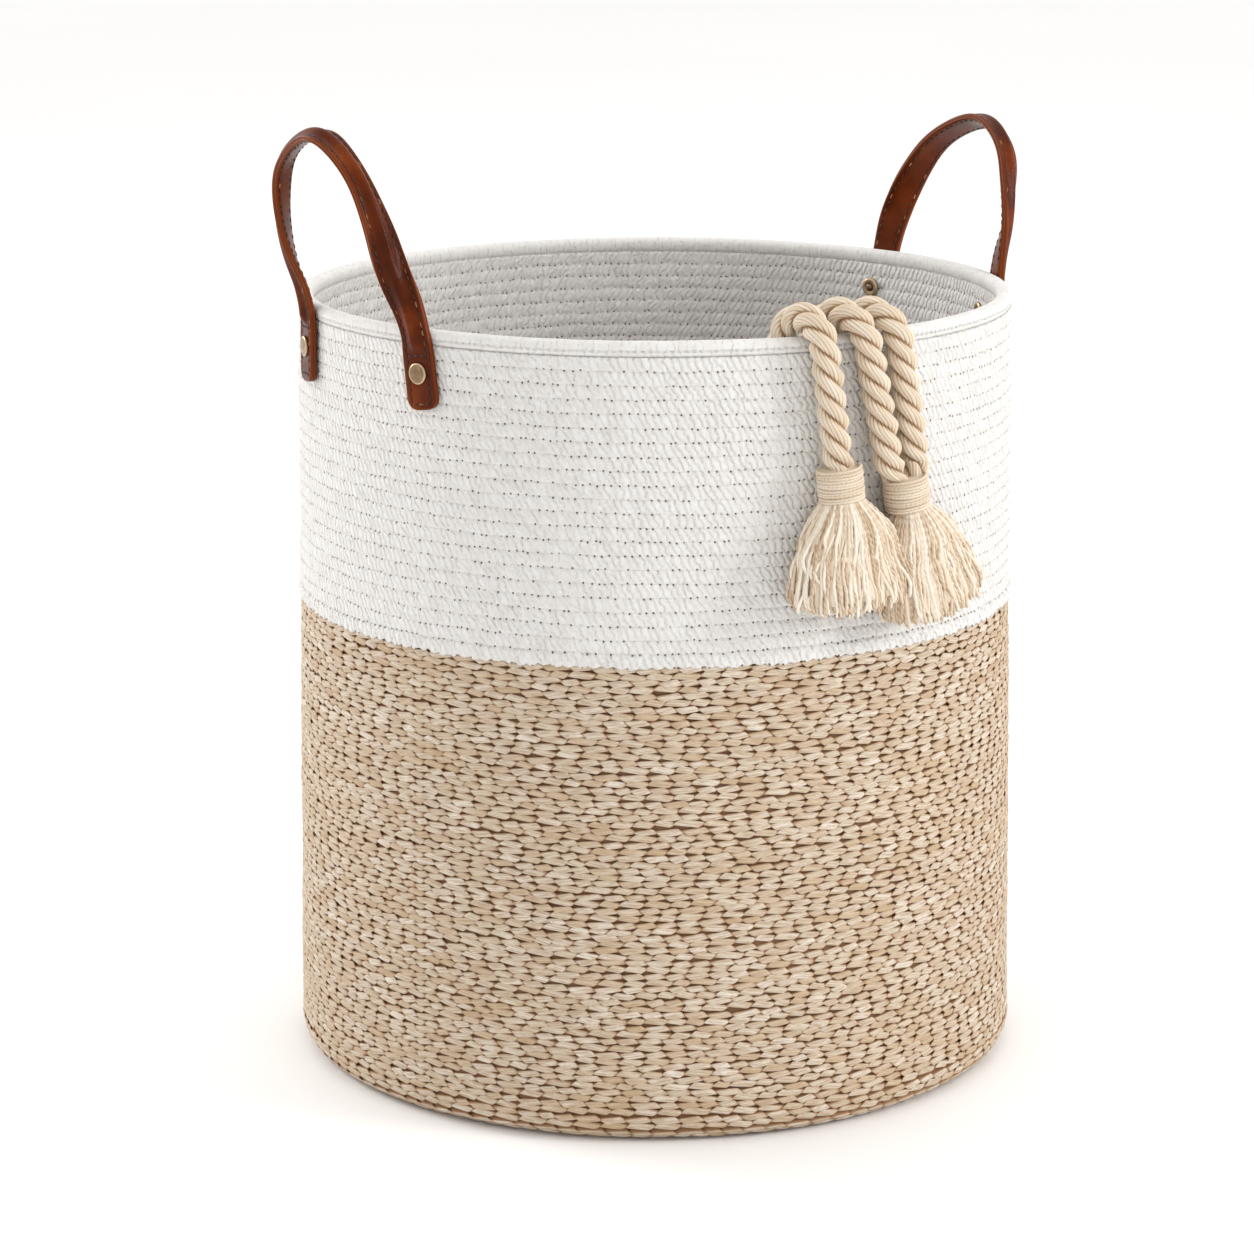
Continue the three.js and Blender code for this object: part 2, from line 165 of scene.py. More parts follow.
def sweep(build, P, A, B, X, Y, closed=False, **attrs):
    """A tube: rings at P, in the directions A and B, with section points X, Y (rings x points)."""
    n = len(P)
    X = np.broadcast_to(X, (n, np.shape(X)[-1]))
    Y = np.broadcast_to(Y, X.shape)
    m = X.shape[1]
    V = P[:, None] + A[:, None] * X[..., None] + B[:, None] * Y[..., None]
    q = grid_quads(n, m, closed, True)
    v = V.reshape(-1, 3)
    flip = volume(v - v.mean(0), q) < 0
    if flip:
        q = q[:, ::-1]
    faces = [q]
    extra, at = [], {k: np.broadcast_to(np.asarray(x, float), (n, m, 3) if k == "st" else (n, m)).reshape(n * m, -1) for k, x in attrs.items()}
    if not closed:
        tops = []
        for row, rev in ((0, False), (n - 1, True)):
            c = n * m + len(extra)
            extra.append(V[row].mean(0))
            i = row * m + np.arange(m)
            t = np.stack([i, np.roll(i, -1), np.full(m, c)], 1)
            if rev != flip:
                t = t[:, ::-1]
            tops.append(t)
            for k in at:
                at[k] = np.concatenate([at[k], at[k][row * m : row * m + m].mean(0, keepdims=True)])
        faces.append(np.concatenate(tops))
        v = np.concatenate([v, np.array(extra)])
    build.add(v, faces, **{k: (x if k == "st" else x[:, 0]) for k, x in at.items()})


def circle(m, r=1.0, power=1.0):
    t = 2 * np.pi * (np.arange(m) + 0.5) / m
    c, s = np.cos(t), np.sin(t)
    return r * np.sign(c) * np.abs(c) ** power, r * np.sign(s) * np.abs(s) ** power


def frames_along(P, start):
    """Directions across a path that don't twist about it."""
    T = unit(np.gradient(P, axis=0))
    A = np.zeros_like(P)
    a = start - T[0] * (start @ T[0])
    A[0] = a / np.linalg.norm(a)
    for i in range(1, len(P)):
        a = A[i - 1] - T[i] * (A[i - 1] @ T[i])
        A[i] = a / np.linalg.norm(a)
    return T, A, np.cross(T, A)


def resample(P, step):
    d = np.linalg.norm(np.diff(P, axis=0), axis=1)
    s = np.concatenate([[0], np.cumsum(d)])
    n = max(3, int(round(s[-1] / step)) + 1)
    t = np.linspace(0, s[-1], n)
    return np.stack([np.interp(t, s, P[:, k]) for k in range(3)], 1), t


def catmull(points, per=40):
    """Centripetal Catmull-Rom curve through the points."""
    p = np.asarray(points, float)
    p = np.concatenate([[2 * p[0] - p[1]], p, [2 * p[-1] - p[-2]]])
    out = []
    for i in range(1, len(p) - 2):
        a, b, c, d = p[i - 1 : i + 3]
        d0, d1, d2 = (max(np.linalg.norm(y - x), 1e-6) ** 0.5 for x, y in ((a, b), (b, c), (c, d)))
        t1 = ((b - a) / d0 - (c - a) / (d0 + d1) + (c - b) / d1) * d1
        t2 = ((c - b) / d1 - (d - b) / (d1 + d2) + (d - c) / d2) * d1
        for t in np.linspace(0, 1, per, endpoint=False):
            out.append(
                b + t1 * t + (-3 * b + 3 * c - 2 * t1 - t2) * t**2 + (2 * b - 2 * c + t1 + t2) * t**3
            )
    out.append(p[-2])
    return np.array(out)


def ring_noise(theta, z, seed, kmax, terms=14, zscale=0.03):
    """Smooth noise round the basket, periodic in theta, about -1 to 1."""
    r = rng(seed)
    out = 0
    for _ in range(terms):
        k = r.integers(1, kmax + 1)
        out = out + np.sin(k * theta + r.uniform(-1, 1) * k * zscale * z + r.uniform(0, 6.28))
    return out / math.sqrt(terms)


def steps_noise(t, seed, smooth=True):
    """Random values at whole numbers of t, smoothly joined."""
    r = rng(seed).uniform(-1, 1, 4096)
    i = np.floor(t).astype(int)
    f = t - i
    if not smooth:
        return r[i % 4096]
    f = f * f * (3 - 2 * f)
    return r[i % 4096] * (1 - f) + r[(i + 1) % 4096] * f


# ---- material helpers ------------------------------------------------------------------------
class Nodes:
    def __init__(self, name, roughness=0.8, metallic=0.0):
        self.m = bpy.data.materials.new(name)
        self.m.use_nodes = True
        self.t = self.m.node_tree
        self.t.nodes.clear()
        out = self.t.nodes.new("ShaderNodeOutputMaterial")
        self.b = self.t.nodes.new("ShaderNodeBsdfPrincipled")
        self.t.links.new(self.b.outputs[0], out.inputs[0])
        self.b.inputs["Roughness"].default_value = roughness
        self.b.inputs["Metallic"].default_value = metallic

    def put(self, socket, v):
        if isinstance(v, bpy.types.NodeSocket):
            self.t.links.new(v, socket)
        elif v is not None:
            socket.default_value = v

    def math(self, op, a, b=None, c=None, clamp=False):
        n = self.t.nodes.new("ShaderNodeMath")
        n.operation, n.use_clamp = op, clamp
        for s, v in zip(n.inputs, (a, b, c)):
            self.put(s, v)
        return n.outputs[0]

    def attr(self, name, out="Fac"):
        n = self.t.nodes.new("ShaderNodeAttribute")
        n.attribute_name = name
        return n.outputs[out]

    def split(self, v):
        n = self.t.nodes.new("ShaderNodeSeparateXYZ")
        self.put(n.inputs[0], v)
        return n.outputs[0], n.outputs[1], n.outputs[2]

    def vec(self, x, y, z=0.0):
        n = self.t.nodes.new("ShaderNodeCombineXYZ")
        for s, v in zip(n.inputs, (x, y, z)):
            self.put(s, v)
        return n.outputs[0]

    def vmul(self, v, by):
        n = self.t.nodes.new("ShaderNodeVectorMath")
        n.operation = "MULTIPLY"
        self.put(n.inputs[0], v)
        self.put(n.inputs[1], by)
        return n.outputs[0]

    def coords(self):
        return self.t.nodes.new("ShaderNodeTexCoord").outputs["Object"]

    def noise(self, v, scale, detail=2.0, rough=0.5):
        n = self.t.nodes.new("ShaderNodeTexNoise")
        self.put(n.inputs["Vector"], v)
        n.inputs["Scale"].default_value = scale
        n.inputs["Detail"].default_value = detail
        n.inputs["Roughness"].default_value = rough
        return n.outputs[0]

    def voronoi(self, v, scale, feature="F1"):
        n = self.t.nodes.new("ShaderNodeTexVoronoi")
        n.feature = feature
        self.put(n.inputs["Vector"], v)
        n.inputs["Scale"].default_value = scale
        return n.outputs["Distance"]

    def white(self, v):
        n = self.t.nodes.new("ShaderNodeTexWhiteNoise")
        n.noise_dimensions = "3D"
        self.put(n.inputs[0], v)
        return n.outputs["Value"]

    def ramp(self, v, stops):
        n = self.t.nodes.new("ShaderNodeValToRGB")
        self.put(n.inputs[0], v)
        e = n.color_ramp.elements
        while len(e) < len(stops):
            e.new(0.5)
        for k, (pos, col) in zip(e, stops):
            k.position = pos
            k.color = col if len(col) == 4 else (*col, 1)
        return n.outputs[0]

    def curve(self, v, lo, hi, out0=0.0, out1=1.0, smooth=True):
        n = self.t.nodes.new("ShaderNodeMapRange")
        n.interpolation_type = "SMOOTHSTEP" if smooth else "LINEAR"
        self.put(n.inputs[0], v)
        for k, x in zip(range(1, 5), (lo, hi, out0, out1)):
            self.put(n.inputs[k], x)
        return n.outputs[0]

    def mix(self, f, a, b, mode="MIX"):
        n = self.t.nodes.new("ShaderNodeMix")
        n.data_type, n.blend_type = "RGBA", mode
        self.put(n.inputs[0], f)
        self.put(n.inputs[6], a)
        self.put(n.inputs[7], b)
        return n.outputs[2]

    def bump(self, height, distance=0.001, strength=1.0):
        """height is in millimetres."""
        n = self.t.nodes.new("ShaderNodeBump")
        n.inputs["Distance"].default_value = distance
        n.inputs["Strength"].default_value = strength
        self.put(n.inputs["Height"], height)
        self.t.links.new(n.outputs[0], self.b.inputs["Normal"])

    def done(self, color, roughness=None):
        self.put(self.b.inputs["Base Color"], color)
        if roughness is not None:
            self.put(self.b.inputs["Roughness"], roughness)
        return self.m


def jute_material():
    n = Nodes("jute", 0.78)
    st, rnd, dep = n.attr("st", "Vector"), n.attr("rnd"), n.attr("dep")
    streak = n.noise(n.vmul(st, (0.16, 2.2, 2.2)), 1.0, 3.0, 0.6)
    broad = n.noise(n.coords(), 26.0, 2.0)
    blotch = n.noise(n.vmul(st, (0.35, 0.5, 0.5)), 1.0, 1.0)
    base = n.ramp(
        rnd,
        [
            (0.0, lin(182, 156, 123)),
            (0.14, lin(194, 174, 149)),
            (0.45, lin(203, 190, 172)),
            (0.75, lin(209, 198, 182)),
            (1.0, lin(224, 215, 203)),
        ],
    )
    tan = n.mix(n.curve(blotch, 0.52, 0.72, 0.0, 0.5), base, lin(202, 177, 145))
    tan = n.mix(n.curve(broad, 0.45, 0.75, 0.0, 0.30), tan, lin(202, 181, 153))
    fib = n.mix(n.curve(streak, 0.36, 0.62, 0.75, 0.0), tan, lin(166, 137, 104))
    # painted shade: dep darkens the leaf sides and ends where they go down between leaves, first to a brown line,
    # then darker in the deepest gaps and on the middle sheets
    edge = n.mix(n.curve(dep, 0.09, 0.28), fib, lin(150, 112, 76))
    painted_gap_shade = n.mix(n.curve(dep, 0.40, 0.62), edge, lin(126, 92, 64))
    speck = n.curve(n.noise(n.vmul(st, (0.9, 2.0, 2.0)), 1.7, 1.0), 0.735, 0.77)
    col = n.mix(n.math("MULTIPLY", speck, 0.8), painted_gap_shade, lin(244, 238, 226))
    h = n.math("MULTIPLY_ADD", streak, 0.16, n.math("MULTIPLY", n.noise(n.coords(), 1400.0, 2.0), 0.05))
    n.bump(h)
    return n.done(col, n.curve(streak, 0.3, 0.7, 0.62, 0.82))


def white_material(name, ribs=True, folds=False):
    """White cotton. st is millimetres along the coil and the coil's number; ribs adds the creases and the needle
    holes, with painted shade in them and along the line between the coils; folds adds slanting wraps with painted
    shade in them.
    """
    n = Nodes(name, 0.88)
    st = n.attr("st", "Vector")
    x, y, side = n.split(st)
    flat = n.vec(x, n.math("MULTIPLY", y, 5.1), n.math("MULTIPLY", side, 40.0))
    soft = n.noise(flat, 0.16, 2.0)
    fine = n.noise(n.coords(), 1500.0, 3.0, 0.6)
    lint = n.noise(n.vmul(flat, (1.0, 2.4, 1.0)), 1.1, 3.0, 0.55)
    base = n.ramp(soft, [(0.25, lin(216, 213, 209)), (0.55, lin(222, 220, 217)), (0.8, lin(226, 225, 222))])
    height = n.math("MULTIPLY_ADD", lint, 0.16, n.math("MULTIPLY", fine, 0.05))
    if ribs:
        frac = n.math("FRACT", y)
        # creases lean down and to the right, and bend
        lean = n.math("MULTIPLY", n.math("POWER", frac, 1.3), 2.5)
        warp = n.math("MULTIPLY", n.math("SUBTRACT", n.noise(flat, 0.30, 2.0), 0.5), 3.6)
        row = n.math("FLOOR", y)
        drift = n.math("MULTIPLY", row, 0.43)
        X = n.math("ADD", n.math("ADD", n.math("ADD", x, lean), warp), drift)
        cell = n.math("DIVIDE", X, 2.72)
        f = n.math("FRACT", cell)
        d = n.math("MULTIPLY", n.math("MINIMUM", f, n.math("SUBTRACT", 1.0, f)), 2.72)
        strength = n.white(n.vec(n.math("FLOOR", n.math("ADD", cell, 0.5)), row, 3.0))
        strength = n.math("MULTIPLY", n.curve(strength, 0.15, 0.75, 0.25, 1.0), n.curve(n.noise(flat, 0.9, 1.0), 0.36, 0.6, 0.15, 1.0))
        crease = n.math("MULTIPLY", n.curve(d, 0.52, 0.02, 0.0, 1.0), strength)
        round_ = n.curve(d, 0.0, 1.3, 0.0, 1.0)
        crease = n.math("MULTIPLY", crease, n.curve(n.math("ABSOLUTE", n.math("SUBTRACT", frac, 0.5)), 0.46, 0.26, 0.25, 1.0))
        height = n.math("MULTIPLY_ADD", crease, -0.21, height)
        height = n.math("MULTIPLY_ADD", round_, 0.36, height)
        # painted shade: the creases are coloured darker
        base = n.mix(n.math("MULTIPLY", crease, 0.29), base, lin(192, 182, 170))
        # needle holes between the coils
        hr = n.math("FLOOR", n.math("ADD", y, 0.5))
        hx = n.math("ADD", n.math("DIVIDE", x, 2.72), n.math("MULTIPLY", hr, 0.158))
        ci = n.math("FLOOR", hx)
        w1, w2, w3 = (n.white(n.vec(ci, hr, k)) for k in (0.0, 1.0, 2.0))
        dx = n.math("MULTIPLY", n.math("ADD", n.math("SUBTRACT", n.math("FRACT", hx), 0.5), n.math("MULTIPLY", n.math("SUBTRACT", w1, 0.5), 0.5)), 2.72)
        dy = n.math("MULTIPLY", n.math("SUBTRACT", n.math("SUBTRACT", y, hr), n.math("MULTIPLY", n.math("SUBTRACT", w2, 0.5), 0.14)), 5.1)
        r = n.math("SQRT", n.math("ADD", n.math("MULTIPLY", dx, dx), n.math("MULTIPLY", dy, dy)))
        live = n.curve(w3, 0.12, 0.62, 0.12, 1.0)
        hole = n.math("MULTIPLY", n.curve(r, 0.46, 0.20, 0.0, 1.0), live)
        pucker = n.curve(r, 1.35, 0.2, 0.0, 1.0)
        height = n.math("MULTIPLY_ADD", hole, -0.5, height)
        height = n.math("MULTIPLY_ADD", pucker, -0.24, height)
        below = n.curve(y, 21.55, 21.8, 1.0, 0.0)
        # painted shade along the line between two coils
        painted_coil_gap_shade = n.math("MULTIPLY", n.curve(n.math("ABSOLUTE", n.math("SUBTRACT", y, hr)), 0.13, 0.0, 0.0, 1.0), below)
        base = n.mix(n.math("MULTIPLY", painted_coil_gap_shade, 0.08), base, lin(200, 190, 178))
        # painted shade inside the needle holes
        base = n.mix(n.math("MULTIPLY", hole, below), base, lin(106, 80, 56))
    if folds:
        # slanting wraps over the edge coil
        w = n.math("ADD", n.math("MULTIPLY", x, 1.0), n.math("MULTIPLY", n.math("SUBTRACT", n.noise(flat, 0.3, 2.0), 0.5), 6.0))
        f = n.math("FRACT", n.math("DIVIDE", w, 2.6))
        d = n.math("MINIMUM", f, n.math("SUBTRACT", 1.0, f))
        st_ = n.curve(n.noise(flat, 0.5, 1.0), 0.4, 0.62, 0.1, 1.0)
        fold = n.math("MULTIPLY", n.curve(d, 0.2, 0.0, 0.0, 1.0), st_)
        height = n.math("MULTIPLY_ADD", fold, -0.22, height)
        # painted shade in the folds of the wraps
        base = n.mix(n.math("MULTIPLY", fold, 0.25), base, lin(204, 194, 182))
    n.bump(height)
    return n.done(base)


def cream_material(name, light, dark):
    """Twisted cotton yarn: st is (mm along, fibre position), dep is how deep in a groove, and the colour goes
    towards dark with it as painted shade.
    """
    n = Nodes(name, 0.84)
    st, dep = n.attr("st", "Vector"), n.attr("dep")
    rnd = n.attr("rnd")
    fib = n.noise(n.vmul(st, (0.5, 3.0, 3.0)), 1.0, 3.0, 0.6)
    tone = n.mix(n.curve(rnd, 0.0, 1.0, 0.0, 0.75, False), light, lin(208, 187, 158))
    tone = n.mix(n.curve(fib, 0.35, 0.7, 0.22, 0.0), tone, lin(198, 174, 142))
    # painted shade in the grooves, by dep
    col = n.mix(n.curve(dep, 0.15, 0.95), tone, dark)
    n.bump(n.math("MULTIPLY_ADD", fib, 0.14, n.math("MULTIPLY", n.noise(n.coords(), 1800.0, 2.0), 0.04)))
    return n.done(col)


def leather_material(name, dark, mid, light, edge_col):
    n = Nodes(name, 0.36)
    n.b.inputs["Specular IOR Level"].default_value = 0.10
    at, edge, groove = n.coords(), n.attr("edge"), n.attr("dep")
    cloud = n.noise(at, 60.0, 3.0)
    grain = n.voronoi(at, 1150.0)
    fine = n.noise(at, 1700.0, 3.0, 0.6)
    wear = n.noise(at, 240.0, 3.0, 0.65)
    col = n.ramp(cloud, [(0.25, dark), (0.52, mid), (0.8, light)])
    col = n.mix(n.curve(wear, 0.58, 0.78, 0.0, 0.30), col, light)
    col = n.mix(n.curve(grain, 0.0, 0.55, 0.28, 0.0), col, dark)
    col = n.mix(n.math("MULTIPLY", groove, 0.7), col, lin(38, 16, 4))
    col = n.mix(edge, col, edge_col)
    h = n.math("MULTIPLY_ADD", grain, 0.045, n.math("MULTIPLY", fine, 0.035))
    n.bump(n.math("MULTIPLY_ADD", wear, 0.05, h))
    return n.done(col, n.curve(wear, 0.3, 0.75, 0.27, 0.40))


def brass_material():
    n = Nodes("antique_brass", 0.36, 1.0)
    at, edge = n.coords(), n.attr("edge")
    cloud, scr = n.noise(at, 420.0, 3.0), n.noise(n.vmul(at, (1.0, 1.0, 9.0)), 500.0, 2.0)
    col = n.ramp(cloud, [(0.3, lin(116, 96, 74)), (0.6, lin(142, 119, 93)), (0.8, lin(160, 138, 110))])
    col = n.mix(edge, col, lin(202, 178, 144))
    n.bump(n.math("MULTIPLY_ADD", scr, 0.03, n.math("MULTIPLY", cloud, 0.05)))
    return n.done(col, n.curve(scr, 0.3, 0.7, 0.28, 0.46))


def thread_material(name):
    n = Nodes(name, 0.6)
    rnd, at = n.attr("rnd"), n.coords()
    ply = n.noise(at, 2600.0, 2.0)
    # most stitches are dark; a few are coloured lighter as painted highlights, glints on the thread
    col = n.ramp(rnd, [(0.0, lin(40, 18, 7)), (0.74, lin(62, 30, 12)), (0.86, lin(120, 74, 40)), (1.0, lin(176, 130, 86))])
    col = n.mix(n.curve(ply, 0.4, 0.6, 0.35, 0.0), col, lin(30, 14, 5))
    n.bump(n.math("MULTIPLY", ply, 0.08))
    return n.done(col)


def felt_material():
    n = Nodes("felt", 0.95)
    v = n.noise(n.coords(), 700.0, 4.0, 0.7)
    n.bump(n.math("MULTIPLY", v, 0.3))
    return n.done(n.ramp(v, [(0.3, lin(150, 138, 118)), (0.7, lin(190, 180, 160))]))


def webbing_material():
    n = Nodes("webbing", 0.88)
    x, y, z = n.split(n.attr("st", "Vector"))
    # herringbone: ribs that change direction every 5.5 mm
    lean = n.math("ABSOLUTE", n.math("SUBTRACT", n.math("FRACT", n.math("DIVIDE", y, 5.5)), 0.5))
    ph = n.math("ADD", n.math("MULTIPLY", x, 5.2), n.math("MULTIPLY", lean, 24.0))
    rib = n.math("MULTIPLY_ADD", n.math("SINE", ph), 0.5, 0.5)
    fuzz = n.noise(n.coords(), 1500.0, 3.0)
    n.bump(n.math("MULTIPLY_ADD", rib, 0.22, n.math("MULTIPLY", fuzz, 0.06)))
    # painted shade: the webbing is coloured darker in the grooves between the ribs
    return n.done(n.mix(n.curve(rib, 0.0, 0.6, 0.35, 0.0), lin(238, 234, 227), lin(196, 186, 172)))


MAT_JUTE = jute_material()
MAT_WHITE = white_material("white_coil")
MAT_RIM = white_material("white_edge", False, True)
# the second colour of each cream material is the painted shade in the grooves
MAT_CREAM = cream_material("cream_rope", lin(233, 221, 204), lin(158, 122, 84))
MAT_YARN = cream_material("cream_yarn", lin(243, 234, 220), lin(172, 138, 100))
MAT_LEATHER = leather_material("leather", lin(56, 17, 0), lin(88, 33, 3), lin(130, 60, 16), lin(114, 51, 13))
MAT_LINING = leather_material("lining", lin(66, 23, 2), lin(94, 37, 6), lin(122, 54, 13), lin(108, 48, 13))
MAT_BRASS, MAT_THREAD, MAT_FELT, MAT_WEB = brass_material(), thread_material("thread"), felt_material(), webbing_material()


# ---- tassel ropes, made first of all the pieces ----------------------------------------------
def polar(az, r, z):
    t = np.radians(az)
    return np.stack(np.broadcast_arrays(r * np.cos(t), r * np.sin(t), z), -1)


HEADS = {
    "left": dict(az=-95.85, r=148.1, z=247.8, tilt=6.3, half=24.0, len=39.4, skirt=5.6, n=330),
    "right": dict(az=-84.6, r=148.3, z=241.6, tilt=9.0, half=22.2, len=40.2, skirt=15, n=310),
}
BIND_R, BIND_H = 8.5, 12.8


def placed(v, h, tilt):
    """Local x along the wall, y outwards, z up; tilt swings the lower end along +x."""
    t = math.radians(-tilt)
    x = v[..., 0] * math.cos(t) + v[..., 2] * math.sin(t)
    z = -v[..., 0] * math.sin(t) + v[..., 2] * math.cos(t)
    a = math.radians(h["az"])
    tv, nv = np.array([-math.sin(a), math.cos(a), 0]), np.array([math.cos(a), math.sin(a), 0])
    y = v[..., 1] + h["r"]
    return x[..., None] * tv + y[..., None] * nv + np.stack([0 * z, 0 * z, z + h["z"]], -1)


ROPES = {
    "left_rope": dict(side="left", dx=0.0, thin=5.4, az=[-101.6, -99.5, -97.7, -96.0], r=147.2, end=254.6, tail=-16.0, crest=306.8),
    "right_rope_a": dict(side="right", dx=-3.3, thin=4.05, az=[-95.8, -93.2, -90.5, -87.5], r=147.6, end=252.4, tail=-13.0, crest=307.6),
    "right_rope_b": dict(side="right", dx=3.3, thin=4.05, az=[-90.0, -87.3, -84.9, -82.4], r=146.6, end=252.0, tail=-13.0, crest=306.8),
}


def rope_route(o):
    pts = [polar(o["az"][0], RIM_IN, 252 + 8 * i) for i in range(6)]
    mid, half = (RIM_IN + RIM_OUT) / 2, (RIM_OUT - RIM_IN) / 2
    for i in range(1, 10):
        ang, f = math.pi * (1 - i / 10), i / 10
        a0, a1, a2, _ = o["az"]
        az = a0 + (a1 - a0) * f / 0.5 if f < 0.5 else a1 + (a2 - a1) * (f - 0.5) / 0.5
        pts.append(polar(az, mid + half * math.cos(ang), 296 + (o["crest"] - 296) * math.sin(ang)))
    for i in range(6):
        f = i / 5
        z = TASSEL_HINGE_Z - 2 + (o["end"] - TASSEL_HINGE_Z + 2) * f
        pts.append(polar(o["az"][2] + (o["az"][3] - o["az"][2]) * f, RIM_OUT + (o["r"] - RIM_OUT) * f, z))
    # on through the whipping and into the top of the skirt, out of sight
    h = HEADS[o["side"]]
    for z, k in ((4.0, 1.0), (0.0, 1.0), (-6.0, 0.8), (-12.0, 0.6), (o["tail"], 0.5)):
        pts.append(placed(np.array([o["dx"] * k, 0.0, z]), h, h["tilt"]))
    return catmull(pts, 24)


def rope_mesh(name, P, A, B, s, R, seed, lay=23.5, m=240):
    """Three strands laid round each other, each of many fine yarns that run nearly along the rope."""
    phi = 2 * np.pi * np.arange(m) / m
    S, PHI = np.meshgrid(s, phi, indexing="ij")
    turn = 2 * np.pi * S / lay
    al = (PHI + turn) % (2 * np.pi / 3) - np.pi / 3  # angle from the middle of a strand
    R = R[:, None]
    d, r = 0.49 * R, 0.55 * R
    rho = d * np.cos(al) + np.sqrt(r * r - (d * np.sin(al)) ** 2)
    strand = np.floor((PHI + turn) / (2 * np.pi / 3))
    k = rng(seed)
    yarns = 16
    sway = 0.35 * np.sin(S * 0.35 + k.uniform(0, 6)) + 0.25 * np.sin(S * 0.83 + PHI * 2 + k.uniform(0, 6))
    ph = PHI * yarns / 2 + strand * 1.7 + sway + al * 4.0
    yarn = np.abs(np.sin(ph))
    rho = rho - 0.40 * (1 - yarn) ** 1.3
    rho = rho + 0.07 * np.sin(S * 0.9 + strand * 2.1)
    # dep is painted shade: the grooves between the strands and between the yarns are coloured darker
    groove = np.clip((np.abs(al) - 0.62) / 0.42, 0, 1)
    dep = np.clip(groove**1.6 + 0.85 * (1 - yarn) ** 1.7, 0, 1)
    idx = np.floor(ph / np.pi)
    rnd = (np.sin(idx * 12.9898 + strand * 4.1) * 43758.5453) % 1.0
    b = Build()
    st = np.stack([S, np.cos(PHI) * 4.5, np.sin(PHI) * 4.5 + strand * 3], -1)
    sweep(b, P, A, B, rho * np.cos(PHI), rho * np.sin(PHI), st=st, dep=dep, rnd=rnd)
    return b.object(name, MAT_CREAM)


rope_parts = {}
for i, (name, o) in enumerate(ROPES.items()):
    P, s = resample(rope_route(o), 0.8)
    _, A, B = frames_along(P, np.array([0.02, 0.01, 1.0]))
    top = int(np.argmax(P[:, 2]))
    k = top + int(np.argmax(P[top:, 2] < 301.6))  # past the crest, where the rope starts down
    h = HEADS[o["side"]]
    R = o["thin"] + (5.4 - o["thin"]) * np.clip((P[:, 2] - h["z"] - 4.0) / 7.0, 0, 1)
    R[:top] = 5.4
    # each part runs one ring into the other, drawn in, so that no edge shows where they meet
    Rb, Rd = R[: k + 2].copy(), R[k - 1 :].copy()
    Rb[-1] *= 0.97
    Rd[0] *= 0.97
    bight = rope_mesh(name + "_over_rim", P[: k + 2], A[: k + 2], B[: k + 2], s[: k + 2], Rb, 5 + i)
    drop = rope_mesh(name + "_hanging", P[k - 1 :], A[k - 1 :], B[k - 1 :], s[k - 1 :], Rd, 5 + i)
    rope_parts[name] = dict(
        bight=bight, drop=drop, inner=P[: k + 1], outer=P[k:], li=s[k], lo=s[-1] - s[k]
    )
    print(name, "over the rim", round(s[k], 1), "hanging", round(s[-1] - s[k], 1))


